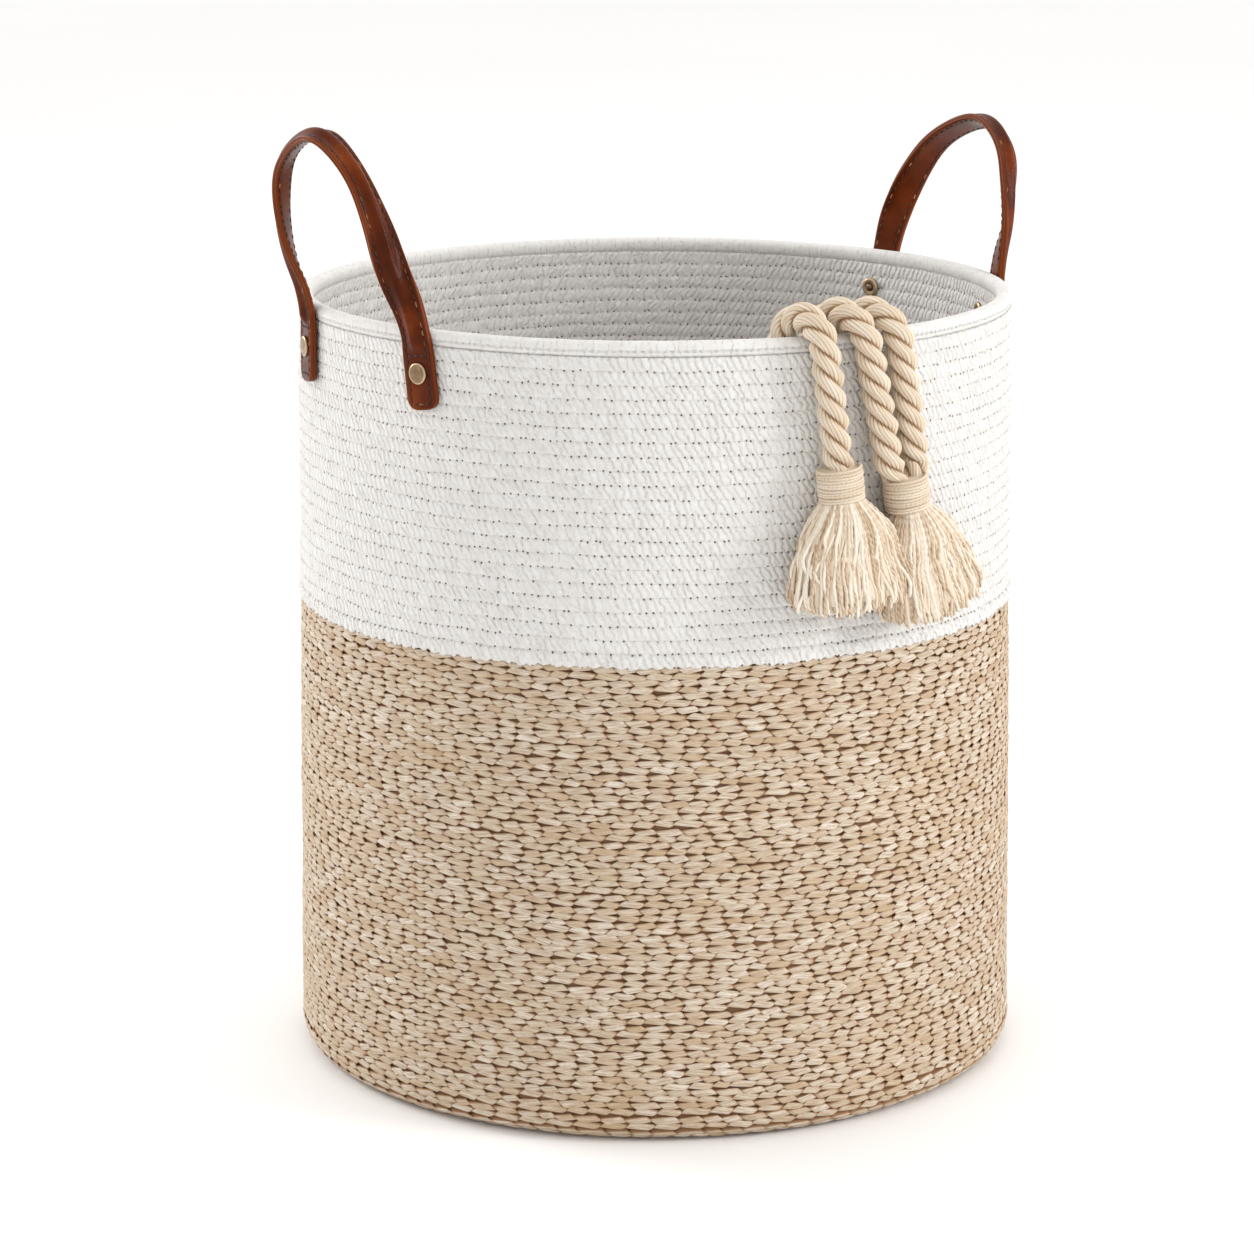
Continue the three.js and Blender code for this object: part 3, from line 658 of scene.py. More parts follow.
# ---- tassel heads: whipping and yarn skirt ----------------------------------------------------
heads = {}
for hi, (side, h) in enumerate(HEADS.items()):
    k = rng(40 + hi)
    # fine cord wound round and round
    turns, cord = 11, 0.62
    t = np.linspace(0, turns * 2 * np.pi, 64 * turns)
    pitch = (BIND_H - 2 * cord) / (turns - 0.2)
    z = BIND_H / 2 - cord - pitch * np.clip(t / (2 * np.pi) - 0.1, 0, turns - 0.2)
    z = z + 0.15 * np.sin(t * 0.37 + 1) + 0.09 * np.sin(t * 1.7) + 0.06 * np.sin(t * 2.9 + 2)
    bulge = 0.35 * np.cos(z / (BIND_H / 2) * 1.2)
    rr = BIND_R - cord - 0.15 + bulge + 0.10 * np.sin(t * 0.61)
    c = np.stack([rr * np.cos(t), rr * 0.96 * np.sin(t), z], -1)
    P = placed(c, h, h["tilt"])
    _, A, B = frames_along(P, np.array([0.1, 0.0, 1.0]))
    s = np.concatenate([[0], np.cumsum(np.linalg.norm(np.diff(P, axis=0), axis=1))])
    m = 10
    phi = 2 * np.pi * np.arange(m) / m
    S, PHI = np.meshgrid(s, phi, indexing="ij")
    ply = np.abs(np.sin(PHI - S * 1.9))
    rho = cord * (0.90 + 0.16 * ply)
    b = Build()
    st = np.stack([S, np.cos(PHI) * 1.2, np.sin(PHI) * 1.2], -1)
    # dep is painted shade: darker in the twist of the cord and on its sides that face the next turns
    sweep(b, P, A, B, rho * np.cos(PHI), rho * np.sin(PHI), st=st, dep=np.clip(0.45 * (1 - ply) ** 2 + 0.6 * np.sin(PHI) ** 8, 0, 1), rnd=0.25 + 0.25 * np.sin(S * 0.11))
    # the core that it is wound on, coloured part-way to the painted shade colour
    q = np.linspace(-1, 1, 9)
    core = placed(np.stack([0 * q, 0 * q, q * (BIND_H / 2 - 0.4)], -1), h, h["tilt"])
    _, A, B = frames_along(core, np.array([1.0, 0.0, 0.02]))
    X, Y = circle(40, BIND_R - 0.9)
    sweep(b, core, A, B, X, Y, st=0.0, dep=0.45, rnd=0.5)
    bind = b.object(side + "_whipping", MAT_CREAM)

    # yarns
    top, L, half = -BIND_H / 2 + 1.2, h["len"] + 1.6, h["half"]
    b = Build()
    nst = h["n"]
    steps = 30
    f = np.linspace(0, 1, steps)
    rows = []
    golden = math.pi * (3 - math.sqrt(5))
    shell = int(nst * 0.56)
    for j in range(nst):
        if j < shell:  # the outermost yarns, close together all round
            rows.append((1.0 - 0.05 * k.random(), 2 * math.pi * (j + k.normal(0, 0.22)) / shell))
        else:
            q = 0.93 * math.sqrt((j - shell + 0.5) / (nst - shell))
            rows.append((q, j * golden + k.normal(0, 0.12)))
    # half width by distance below the whipping
    prof_z, prof_r = [0.0, 2.0, 6.3, 12.0, 18.0, 25.0, 34.0, 41.0], [7.2, 8.6, 12.6, 16.8, 19.8, 21.9, 24.0, 24.2]
    for j, (q, ang) in enumerate(rows):
        # the ends are longest in the middle
        mid_ = 1 - 0.075 * (q * math.cos(ang)) ** 2 - 0.05 * abs(q * math.cos(ang)) ** 6
        ljit = mid_ * (1 - 0.05 * k.random() ** 1.5 - (0.03 if k.random() < 0.2 else 0))
        z = top - L * ljit * f
        R = np.interp(L * ljit * f, prof_z, prof_r) * (half / 24.0)
        R = np.maximum(R, 7.2)
        R = R * (1 - 0.03 * np.clip((f - 0.85) / 0.15, 0, 1) ** 2)
        sq = 1 - 0.50 * np.clip(f * 2.0, 0, 1)
        w1, w2, ph1, ph2 = k.normal(0, 0.80), k.normal(0, 0.50), k.uniform(0, 6.28), k.uniform(0, 6.28)
        fr1, fr2 = k.uniform(0.7, 1.5), k.uniform(2.0, 3.6)
        wig = w1 * np.sin(2 * np.pi * fr1 * f + ph1) + w2 * np.sin(2 * np.pi * fr2 * f + ph2)
        wig2 = 0.6 * w2 * np.sin(2 * np.pi * fr1 * f + ph2) + 0.5 * w1 * np.sin(2 * np.pi * fr2 * f + ph1)
        wig, wig2 = wig * np.clip(f * 2.5, 0, 1), wig2 * np.clip(f * 2.5, 0, 1) * 0.8
        lean = k.normal(0, 1.1) * f**1.5
        x = R * q * np.cos(ang) + wig + lean
        y = (R * q * np.sin(ang) + wig2) * sq + 3.0 * f
        P = placed(np.stack([x, y, z], -1), h, h["skirt"])
        # nothing goes into the wall
        rad_ = np.hypot(P[:, 0], P[:, 1])
        least = outer_r(P[:, 2]) + 0.75
        push = np.maximum(rad_, least) / rad_
        P[:, 0] *= push
        P[:, 1] *= push
        _, A, B = frames_along(P, np.array([1.0, 0.1, 0.02]))
        m = 7
        phi = 2 * np.pi * np.arange(m) / m
        thick = 0.60 * (0.88 + 0.24 * k.random())
        S, PHI = np.meshgrid(f * L, phi, indexing="ij")
        two = 1 + 0.20 * np.cos(2 * (PHI - S * (0.95 + 0.1 * k.random())))
        taper = 1 - 0.45 * np.clip((f - 0.96) / 0.04, 0, 1)
        rho = thick * two * taper[:, None]
        st = np.stack([S + j * 7, np.cos(PHI) * 0.8 + j, np.sin(PHI) * 0.8], -1)
        inner = (1 - q) * 0.55 + (0.55 if k.random() < 0.3 else 0.0)  # painted shade: yarns nearer the middle, and some others at random that lie no deeper, are coloured darker
        # dep is painted shade, also darker in the twist of each yarn
        dep = np.clip(0.40 * (1.2 - two) / 0.4 + inner * 0.7, 0, 1)
        sweep(b, P, A, B, rho * np.cos(PHI), rho * np.sin(PHI), st=st, dep=dep, rnd=k.random())
    # a solid body in the middle, standing in for the inner yarns and seen only between the outer ones; it is
    # coloured part-way to the painted shade colour
    zc = np.linspace(0, L * 0.86, 14)
    Rc = np.maximum(np.interp(zc, prof_z, prof_r) * (half / 24.0) * 0.965 - 0.7, 3.0)
    fc = zc / L
    sqc = 1 - 0.47 * np.clip(fc * 2.0, 0, 1)
    tc = 2 * np.pi * np.arange(72) / 72
    ripple = 1 + 0.05 * np.sin(tc * 18)
    loc = np.stack([Rc[:, None] * np.cos(tc) * ripple, Rc[:, None] * np.sin(tc) * ripple * sqc[:, None] + 3.0 * fc[:, None], np.broadcast_to((top - zc)[:, None], (14, 72))], -1)
    W_ = placed(loc, h, h["skirt"])
    ctr = W_.mean(1)
    b.add(
        np.concatenate([W_.reshape(-1, 3), ctr[:1], ctr[-1:]]),
        [grid_quads(14, 72, False, True)[:, ::-1],
         np.stack([np.arange(72), np.roll(np.arange(72), -1), np.full(72, 14 * 72)], 1)[:, ::-1],
         np.stack([13 * 72 + np.arange(72), 13 * 72 + np.roll(np.arange(72), -1), np.full(72, 14 * 72 + 1)], 1)],
        st=np.concatenate([np.stack([np.broadcast_to(zc[:, None], (14, 72)), np.broadcast_to(tc * 8, (14, 72)), np.zeros((14, 72))], -1).reshape(-1, 3), np.zeros((2, 3))]),
        dep=0.34, rnd=0.5,
    )
    skirt = b.object(side + "_yarn_skirt", MAT_YARN)
    heads[side] = dict(bind=bind, skirt=skirt)

for name, part in rope_parts.items():
    side = "left" if name == "left_rope" else "right"
    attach(part["bight"], "basket")
    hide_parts(name + "_bight")
    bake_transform(part["drop"])
    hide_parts(name + "_drop")
for side, h in heads.items():
    for o, node in ((h["bind"], side + "_binding"), (h["skirt"], side + "_skirt")):
        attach(o, side + "_tassel")
        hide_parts(node)


# ---- jute braid ----------------------------------------------------------------------------------
LEAF = 8.4  # length of one visible leaf of the braid
LC = np.array([0.0, 0.07, 0.22, 0.46, 0.72, 0.9, 0.985])
LEAF_H = np.interp(LC, [0, 0.07, 0.22, 0.46, 0.72, 0.9, 1.0], [0.80, 0.93, 0.99, 1.0, 0.97, 0.89, 0.76])
LEAF_W = np.interp(LC, [0, 0.07, 0.22, 0.46, 0.72, 0.9, 1.0], [0.84, 0.98, 1.07, 1.10, 1.07, 0.98, 0.80])
SEC_X = np.array([1.0, 0.86, 0.46, -0.46, -0.86, -1.0, -1.0, -0.5, 0.5, 1.0])
SEC_Y = np.array([0.56, 0.86, 0.99, 0.99, 0.86, 0.56, -0.50, -0.95, -0.95, -0.50])


def leaves(build, at, length, row, seed, closed, width=1.30, deep=2.5):
    """One of the two lines of leaves of a flat braid. at(s) gives the braid's middle, the
    direction across it and the direction out; row is 1 for the upper line and -1 for the lower."""
    k = rng(seed)
    n = int(round(length / LEAF))
    ln = k.uniform(0.74, 1.28, n)
    ln *= length / ln.sum()
    start = np.concatenate([[0], np.cumsum(ln)[:-1]]) + (LEAF / 2 if row < 0 else 0.0)
    m = len(LC)
    s = (start[:, None] + ln[:, None] * LC).ravel()
    C, A, N = at(s)
    j = np.repeat(np.arange(n), m)
    c = np.tile(LC, n)
    hk, wk, ok, tk = 1 + k.normal(0, 0.035, n), 1 + k.normal(0, 0.05, n), k.normal(0, 0.13, n), k.normal(0, 0.20, n)
    h = np.tile(LEAF_H, n) * hk[j]
    w = np.tile(LEAF_W, n) * wk[j] * width
    across = row * (0.95 * PITCH / 4 + 1.25 * (c - 0.5)) * (width / 1.30) + ok[j] + tk[j] * (c - 0.5)
    T = np.cross(A, N)
    if T[0] @ (C[1] - C[0]) < 0:
        T = -T
    X = w[:, None] * SEC_X
    Y = h[:, None] * deep * SEC_Y
    ends = np.abs(2 * c - 1) ** 2
    shear = (-row * 2.0 * ends)[:, None] * SEC_X
    P = C + A * across[:, None]
    V = P[:, None] + A[:, None] * X[..., None] + N[:, None] * Y[..., None] + T[:, None] * shear[..., None]
    q = grid_quads(len(P), len(SEC_X), closed, True)
    v = V.reshape(-1, 3)
    if volume(v - v.mean(0), q) < 0:
        q = q[:, ::-1]
    faces = [q]
    # dep is painted shade: highest on the sides of a leaf, where it goes down between the leaves, and at the leaf
    # ends, where they tuck under the next
    off = np.abs(Y) / deep
    dep = np.clip((1.0 - off) * 0.86 + 0.16 * ends[:, None] * (1 - off) + 0.40 * ends[:, None] ** 7, 0, 1)
    rnd = np.clip(k.random(n)[j] * 0.8 + 0.2 * np.repeat(k.random(n // 5 + 1), 5)[:n][j], 0, 1)
    st = np.stack([np.repeat((s + seed * 31)[:, None], len(SEC_X), 1), X + row * 1.5, Y * 0.6], -1)
    if not closed:
        caps, extra, e_st = [], [], []
        for i0, rev in ((0, False), (len(P) - 1, True)):
            i = i0 * len(SEC_X) + np.arange(len(SEC_X))
            cidx = len(v) + len(extra)
            extra.append(V[i0].mean(0))
            t = np.stack([i, np.roll(i, -1), np.full(len(i), cidx)], 1)
            caps.append(t[:, ::-1] if rev else t)
        v = np.concatenate([v, extra])
        faces += caps
        pad_ = lambda z: np.concatenate([z, z[:2]])
        build.add(v, faces, st=pad_(st.reshape(-1, 3)), dep=pad_(dep.ravel()), rnd=pad_(np.repeat(rnd, len(SEC_X))))
    else:
        build.add(v, faces, st=st.reshape(-1, 3), dep=dep.ravel(), rnd=np.repeat(rnd, len(SEC_X)))


mid_r = R_BOTTOM - CORNER  # radius where the flat underside ends
HALF = WALL / 2
arc_r = CORNER - HALF
top_z = SEAM_Z - 2.4


def wall_profile(q):
    """Mid-wall radius, height and outward normal at distance q along the profile, from the base edge upwards."""
    arc = arc_r * math.pi / 2
    if q < arc:
        t = q / arc_r
        return mid_r + arc_r * math.sin(t), CORNER - arc_r * math.cos(t), math.sin(t), -math.cos(t)
    z = CORNER + (q - arc)
    return outer_r(z) - HALF, z, 1.0, 0.0145


build = Build()
total = arc_r * math.pi / 2 + (top_z - CORNER)
rows = int(round(total / PITCH))
step = total / rows
for k in range(rows + 1):
    q = k * step
    r, z, nr, nz = wall_profile(q)

    def at(s, r=r, z=z, nr=nr, nz=nz):
        th = s / r - np.pi * 0.9
        zz = 0.30 * ring_noise(th, z, 11, 9) + 0.22 * ring_noise(th, z, 12, 24, 10, 0.05)
        if z < 14:
            zz = zz * max(0.0, (z - 4) / 10)
        rr = r + 0.22 * ring_noise(th, z, 13, 7)
        C = np.stack([rr * np.cos(th), rr * np.sin(th), z + zz], -1)
        N = np.stack([nr * np.cos(th), nr * np.sin(th), nz + 0 * th], -1)
        A = np.stack([-nz * np.cos(th), -nz * np.sin(th), nr + 0 * th], -1)
        return C, A, N

    for row in (1, -1):
        leaves(build, at, 2 * np.pi * r, row, 500 + 2 * k + (row > 0), True)
# a dark sheet in the middle of the wall, all painted shade, seen only in the gaps between the strands
m = 180
th = np.linspace(0, 2 * np.pi, m, endpoint=False)
qs = np.linspace(-1.5, total + 1.6, 60)
ring = []
for q in qs:
    r, z, nr, nz = wall_profile(max(q, 0.0))
    if q < 0:
        r += q
    ring.append((r, z, nr, nz))
ring = np.array(ring)
X = np.concatenate([ring[:, 0] + 0.9 * ring[:, 2], (ring[:, 0] - 0.9 * ring[:, 2])[::-1]])
Z = np.concatenate([ring[:, 1] + 0.9 * ring[:, 3], (ring[:, 1] - 0.9 * ring[:, 3])[::-1]])
C0 = np.zeros((m, 3))
E = np.stack([np.cos(th), np.sin(th), 0 * th], -1)
U = np.broadcast_to(np.array([0.0, 0.0, 1.0]), E.shape)
sweep(build, C0, E, U, X, Z, True, st=0.0, dep=1.0, rnd=0.5)
jute_wall = build.object("jute_wall", MAT_JUTE)
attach(jute_wall, "basket")
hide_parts("lower_wall_braid")

# base: one braid wound in a flat spiral
build = Build()
r_end = mid_r - 0.2 - 2.5
length = math.pi * (r_end**2 - 3.0**2) / PITCH


def at_base(s):
    th = np.sqrt(4 * np.pi * (s + math.pi * 9.0 / PITCH) / PITCH)
    r = PITCH * th / (2 * np.pi)
    e = np.stack([np.cos(th), np.sin(th), 0 * th], -1)
    return e * r[:, None] + np.array([0, 0, HALF]), e, np.broadcast_to(np.array([0.0, 0.0, -1.0]), e.shape)


LC = LC[[0, 2, 3, 4, 6]]
LEAF_H, LEAF_W = LEAF_H[[0, 2, 3, 4, 6]], LEAF_W[[0, 2, 3, 4, 6]]
for row in (1, -1):
    leaves(build, at_base, length, row, 71 + row, False)
# a dark disc in the middle of the base, painted shade seen in the gaps between the strands; the plug at the centre
# of the spiral takes the brown painted shade of the leaf sides
X, Y = circle(90, 1.0)
core = np.array([[0, 0, HALF - 0.8], [0, 0, HALF + 0.8]])
sweep(build, core, np.tile([[1.0, 0, 0]], (2, 1)), np.tile([[0, 1.0, 0]], (2, 1)), X * (mid_r - 1.2), Y * (mid_r - 1.2), st=0.0, dep=0.8, rnd=0.5)
X, Y = circle(24, 3.6)
core = np.array([[0, 0, 0.5], [0, 0, WALL - 0.5]])
sweep(build, core, np.tile([[1.0, 0, 0]], (2, 1)), np.tile([[0, 1.0, 0]], (2, 1)), X, Y, st=0.0, dep=0.25, rnd=0.5)
jute_base = build.object("jute_base", MAT_JUTE)
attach(jute_base, "basket")
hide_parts("base_coil")


# ---- white upper wall ------------------------------------------------------------------------------
ROWS = 22
z_lo, z_hi = SEAM_Z - 0.2, RIM_Z + 0.2
row_h = (z_hi - z_lo) / ROWS
cols = 880
per_out, per_in = ((9, 5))
th = np.linspace(0, 2 * np.pi, cols + 1) + np.pi / 2  # the seam is at the back


def coil(v, depth):
    """How far a coil's face lies inside the wall's outer face at height v within it, 0 to 1."""
    u = np.abs(2 * (v - 0.5))
    return depth * (1 - np.sqrt(np.clip(1 - (0.94 * u) ** 2.6, 0, 1)))


def waist(theta, z):
    return 0.22 * ring_noise(theta, z, 13, 7)


v_out = np.concatenate([k + (np.arange(per_out) / per_out) for k in range(ROWS)] + [[ROWS]])
v_in = np.concatenate([k + (np.arange(per_in) / per_in) for k in range(ROWS)] + [[ROWS]])[::-1]
VV = np.concatenate([v_out, v_in])
side = np.concatenate([np.zeros(len(v_out)), np.ones(len(v_in))])
TH, V = np.meshgrid(th, VV, indexing="ij")
SIDE = np.broadcast_to(side, TH.shape)
fr = V - np.floor(np.minimum(V, ROWS - 1e-6))
Z = z_lo + V * row_h
Zj = Z + (0.20 * ring_noise(TH, Z, 21, 10) + 0.10 * ring_noise(TH, Z, 22, 60, 12, 0.04)) * np.clip((ROWS - V) / 1.5, 0, 1)
x_mm = (TH - np.pi / 2) * 138.5
depth = np.where(SIDE > 0.5, 0.62, 0.58)
inset = coil(fr, depth) * np.clip(np.where(fr > 0.5, (ROWS - V) / 0.5, 1.0), 0.12, 1)
lump = 0.10 * ring_noise(TH + 0.02 * V, Z * 6, 23, 150, 26, 0.02) + 0.06 * ring_noise(TH, Z * 11, 24, 260, 26, 0.01)
row_id = np.floor(np.minimum(V, ROWS - 1e-6))
# the lowest coil is laid over the braid with longer slanting wraps
low = (row_id == 0) & (SIDE < 0.5)
wrap = np.abs(np.sin(np.pi * (x_mm + 3.4 * (1 - fr)) / 4.6))
R_out = outer_r(Z) - inset + lump + waist(TH, Z)
R_out = np.where(low, R_out + 0.35 + 0.38 * (wrap - 0.6), R_out)
Zj = np.where(low, Zj - (1 - fr) ** 2 * (0.9 * (wrap - 0.35) + 0.3 * ring_noise(TH, Z, 25, 90, 10)), Zj)
R_in = outer_r(Z) - WALL + inset - lump + waist(TH, Z)
R = np.where(SIDE > 0.5, R_in, R_out)
verts = np.stack([R * np.cos(TH), R * np.sin(TH), Zj], -1)
q = grid_quads(cols + 1, len(VV), False, True)
vv = verts.reshape(-1, 3)
if volume(vv, q) < 0:
    q = q[:, ::-1]
build = Build()
build.add(vv, [q], st=np.stack([x_mm, V, SIDE], -1).reshape(-1, 3), dep=0.0, rnd=0.0)
white_wall = build.object("white_wall", MAT_WHITE)
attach(white_wall, "basket")
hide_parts("upper_wall_rope")

# rim coil
n = 1500
m = 22
th = np.linspace(0, 2 * np.pi, n + 1) + np.pi / 2
x = (th - np.pi / 2) * 138
phi = 2 * np.pi * np.arange(m) / m
TH, PHI = np.meshgrid(th, phi, indexing="ij")
XM = (TH - np.pi / 2) * 138
mid = outer_r(300) + 0.3 - RIM_THICK / 2
fold = np.abs(np.sin(np.pi * (XM + 1.2 * np.sin(PHI) + 1.5 * ring_noise(TH, 0, 31, 60, 10)) / 2.7))
rad_ = 1 + 0.022 * (fold - 0.6) + 0.012 * ring_noise(TH, PHI * 4, 32, 90, 16, 0.5)
cp, sp = np.cos(PHI), np.sin(PHI)
RX = 3.05 * np.sign(cp) * np.abs(cp) ** 0.88 * rad_
RZ = np.where(sp < 0, 3.35, 2.95) * np.sign(sp) * np.abs(sp) ** 0.88 * rad_
R = mid + RX + waist(TH, 297) * 0.8
Z = 297.05 + RZ + 0.12 * ring_noise(TH, 0, 33, 9)
verts = np.stack([R * np.cos(TH), R * np.sin(TH), Z], -1).reshape(-1, 3)
q = grid_quads(n + 1, m, False, True)
if volume(verts, q) < 0:
    q = q[:, ::-1]
build = Build()
build.add(verts, [q], st=np.stack([XM, PHI * 0.5, 0 * XM], -1).reshape(-1, 3))
rim = build.object("rim_coil", MAT_RIM)
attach(rim, "basket")
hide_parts("rim_cord")


# ---- leather handles ---------------------------------------------------------------------------------
E_Y = np.array([0.0, 1.0, 0.0])
SLANT = math.tan(math.radians(TAB_SLANT))


def strap_path(side):
    """Middle of the strap from one tab's lower end, over the arch, to the other's, with its normal."""
    rest, taz = RESTS[side], math.radians(TAB_AZ[side])
    HX, HY = strap_r(HINGE_Z) * math.cos(taz), strap_r(HINGE_Z) * math.sin(taz)
    lean = math.radians(rest["lean"])
    E_Q = np.array([math.sin(lean), 0, math.cos(lean)])
    E_B = np.array([math.cos(lean), 0, -math.sin(lean)])
    rise, fr = rest["rise"], (0.27, 0.55, 0.82)
    pts = [(-HY, 0.0)] + [(y, f * rise) for y, f in zip(rest["low"], fr)] + [(rest["top"], rise)]
    pts += [(y, f * rise) for y, f in zip(rest["high"], fr[::-1])] + [(HY, 0.0)]
    H = np.array([HX, 0, HINGE_Z])
    arch = catmull([H + E_Y * y + E_Q * q + E_B * rest["bow"] * (q / rise) ** 2 for y, q in pts], 40)
    arch, sa = resample(arch, 0.8)
    T = unit(np.gradient(arch, axis=0))
    out = -(T @ E_Q)[:, None] * E_Y + (T @ E_Y)[:, None] * E_Q
    k = np.minimum(sa / rest["twist"][0], (sa[-1] - sa) / rest["twist"][1])
    k = -np.log(np.exp(-5 * k) + math.exp(-5)) / 5 + math.log(1 + math.exp(-5)) / 5
    x = np.clip((sa / sa[-1] - 0.3) / 0.4, 0, 1)
    turned = rest["turned"][0] + (rest["turned"][1] - rest["turned"][0]) * x * x * (3 - 2 * x)
    psi = np.radians(TAB_AZ[side] + (turned - TAB_AZ[side]) * k)
    Na = E_B * np.cos(psi)[:, None] + out * np.sin(psi)[:, None]
    zt = np.arange(TAB_LOW, 297.6, 0.8)

    def tab(sign):
        t = SLANT * (HINGE_Z - zt) if sign > 0 else 0 * zt
        x = strap_r(zt) - t * t / 280
        ca, sa_ = math.cos(sign * taz), math.sin(sign * taz)
        P = np.stack([x * ca - t * sa_, x * sa_ + t * ca, zt], -1)
        nn = np.stack([P[:, 0], P[:, 1], 0.0145 * x], -1)
        return P, unit(nn)

    P0, N0 = tab(-1)
    P1, N1 = tab(1)
    keep = (sa > 5.4) & (sa < sa[-1] - 5.4)
    P = np.concatenate([P0, arch[keep], P1[::-1]])
    Nn = np.concatenate([N0, Na[keep], N1[::-1]])
    # a smooth bend where the tab turns into the arch
    d = np.concatenate([[0], np.cumsum(np.linalg.norm(np.diff(P, axis=0), axis=1))])
    knots_d, knots_P, knots_N = d, P, Nn
    s = np.linspace(0, d[-1], int(d[-1] / (0.7)))
    Pi = np.stack([np.interp(s, knots_d, knots_P[:, k]) for k in range(3)], 1)
    Ni = np.stack([np.interp(s, knots_d, knots_N[:, k]) for k in range(3)], 1)
    for _ in range(40):
        Pm, Nm = Pi.copy(), Ni.copy()
        Pm[1:-1] = (Pi[:-2] + 2 * Pi[1:-1] + Pi[2:]) / 4
        Nm[1:-1] = (Ni[:-2] + 2 * Ni[1:-1] + Ni[2:]) / 4
        Pi, Ni = Pm, Nm
    s = np.concatenate([[0], np.cumsum(np.linalg.norm(np.diff(Pi, axis=0), axis=1))])
    T = unit(np.gradient(Pi, axis=0))
    Ni = unit(Ni - T * np.einsum("ij,ij->i", Ni, T)[:, None])
    return Pi, T, Ni, np.cross(Ni, T), s




def pad(w, f):
    u = np.clip(np.abs(w) / PAD_HALF, 0, 1)
    return PAD_RISE * np.cos(np.pi * u / 2) ** 2 * f


def face(w, f, groove_f, line):
    """Height of the strap's outer face above its middle plane; line is where the stitches run."""
    g = 0.24 * np.exp(-(((np.abs(w) - line) / 0.42) ** 2)) * groove_f
    return 0.1 + LAYER + pad(w, f) - g


u_top = np.concatenate([[-1.0, -0.985, -0.95], np.linspace(-0.88, 0.88, 29), [0.95, 0.985, 1.0]])


def strap_turn(v, turn):
    ca, sa = math.cos(math.radians(turn)), math.sin(math.radians(turn))
    return np.stack([v[:, 0] * ca - v[:, 1] * sa, v[:, 0] * sa + v[:, 1] * ca, v[:, 2]], -1)


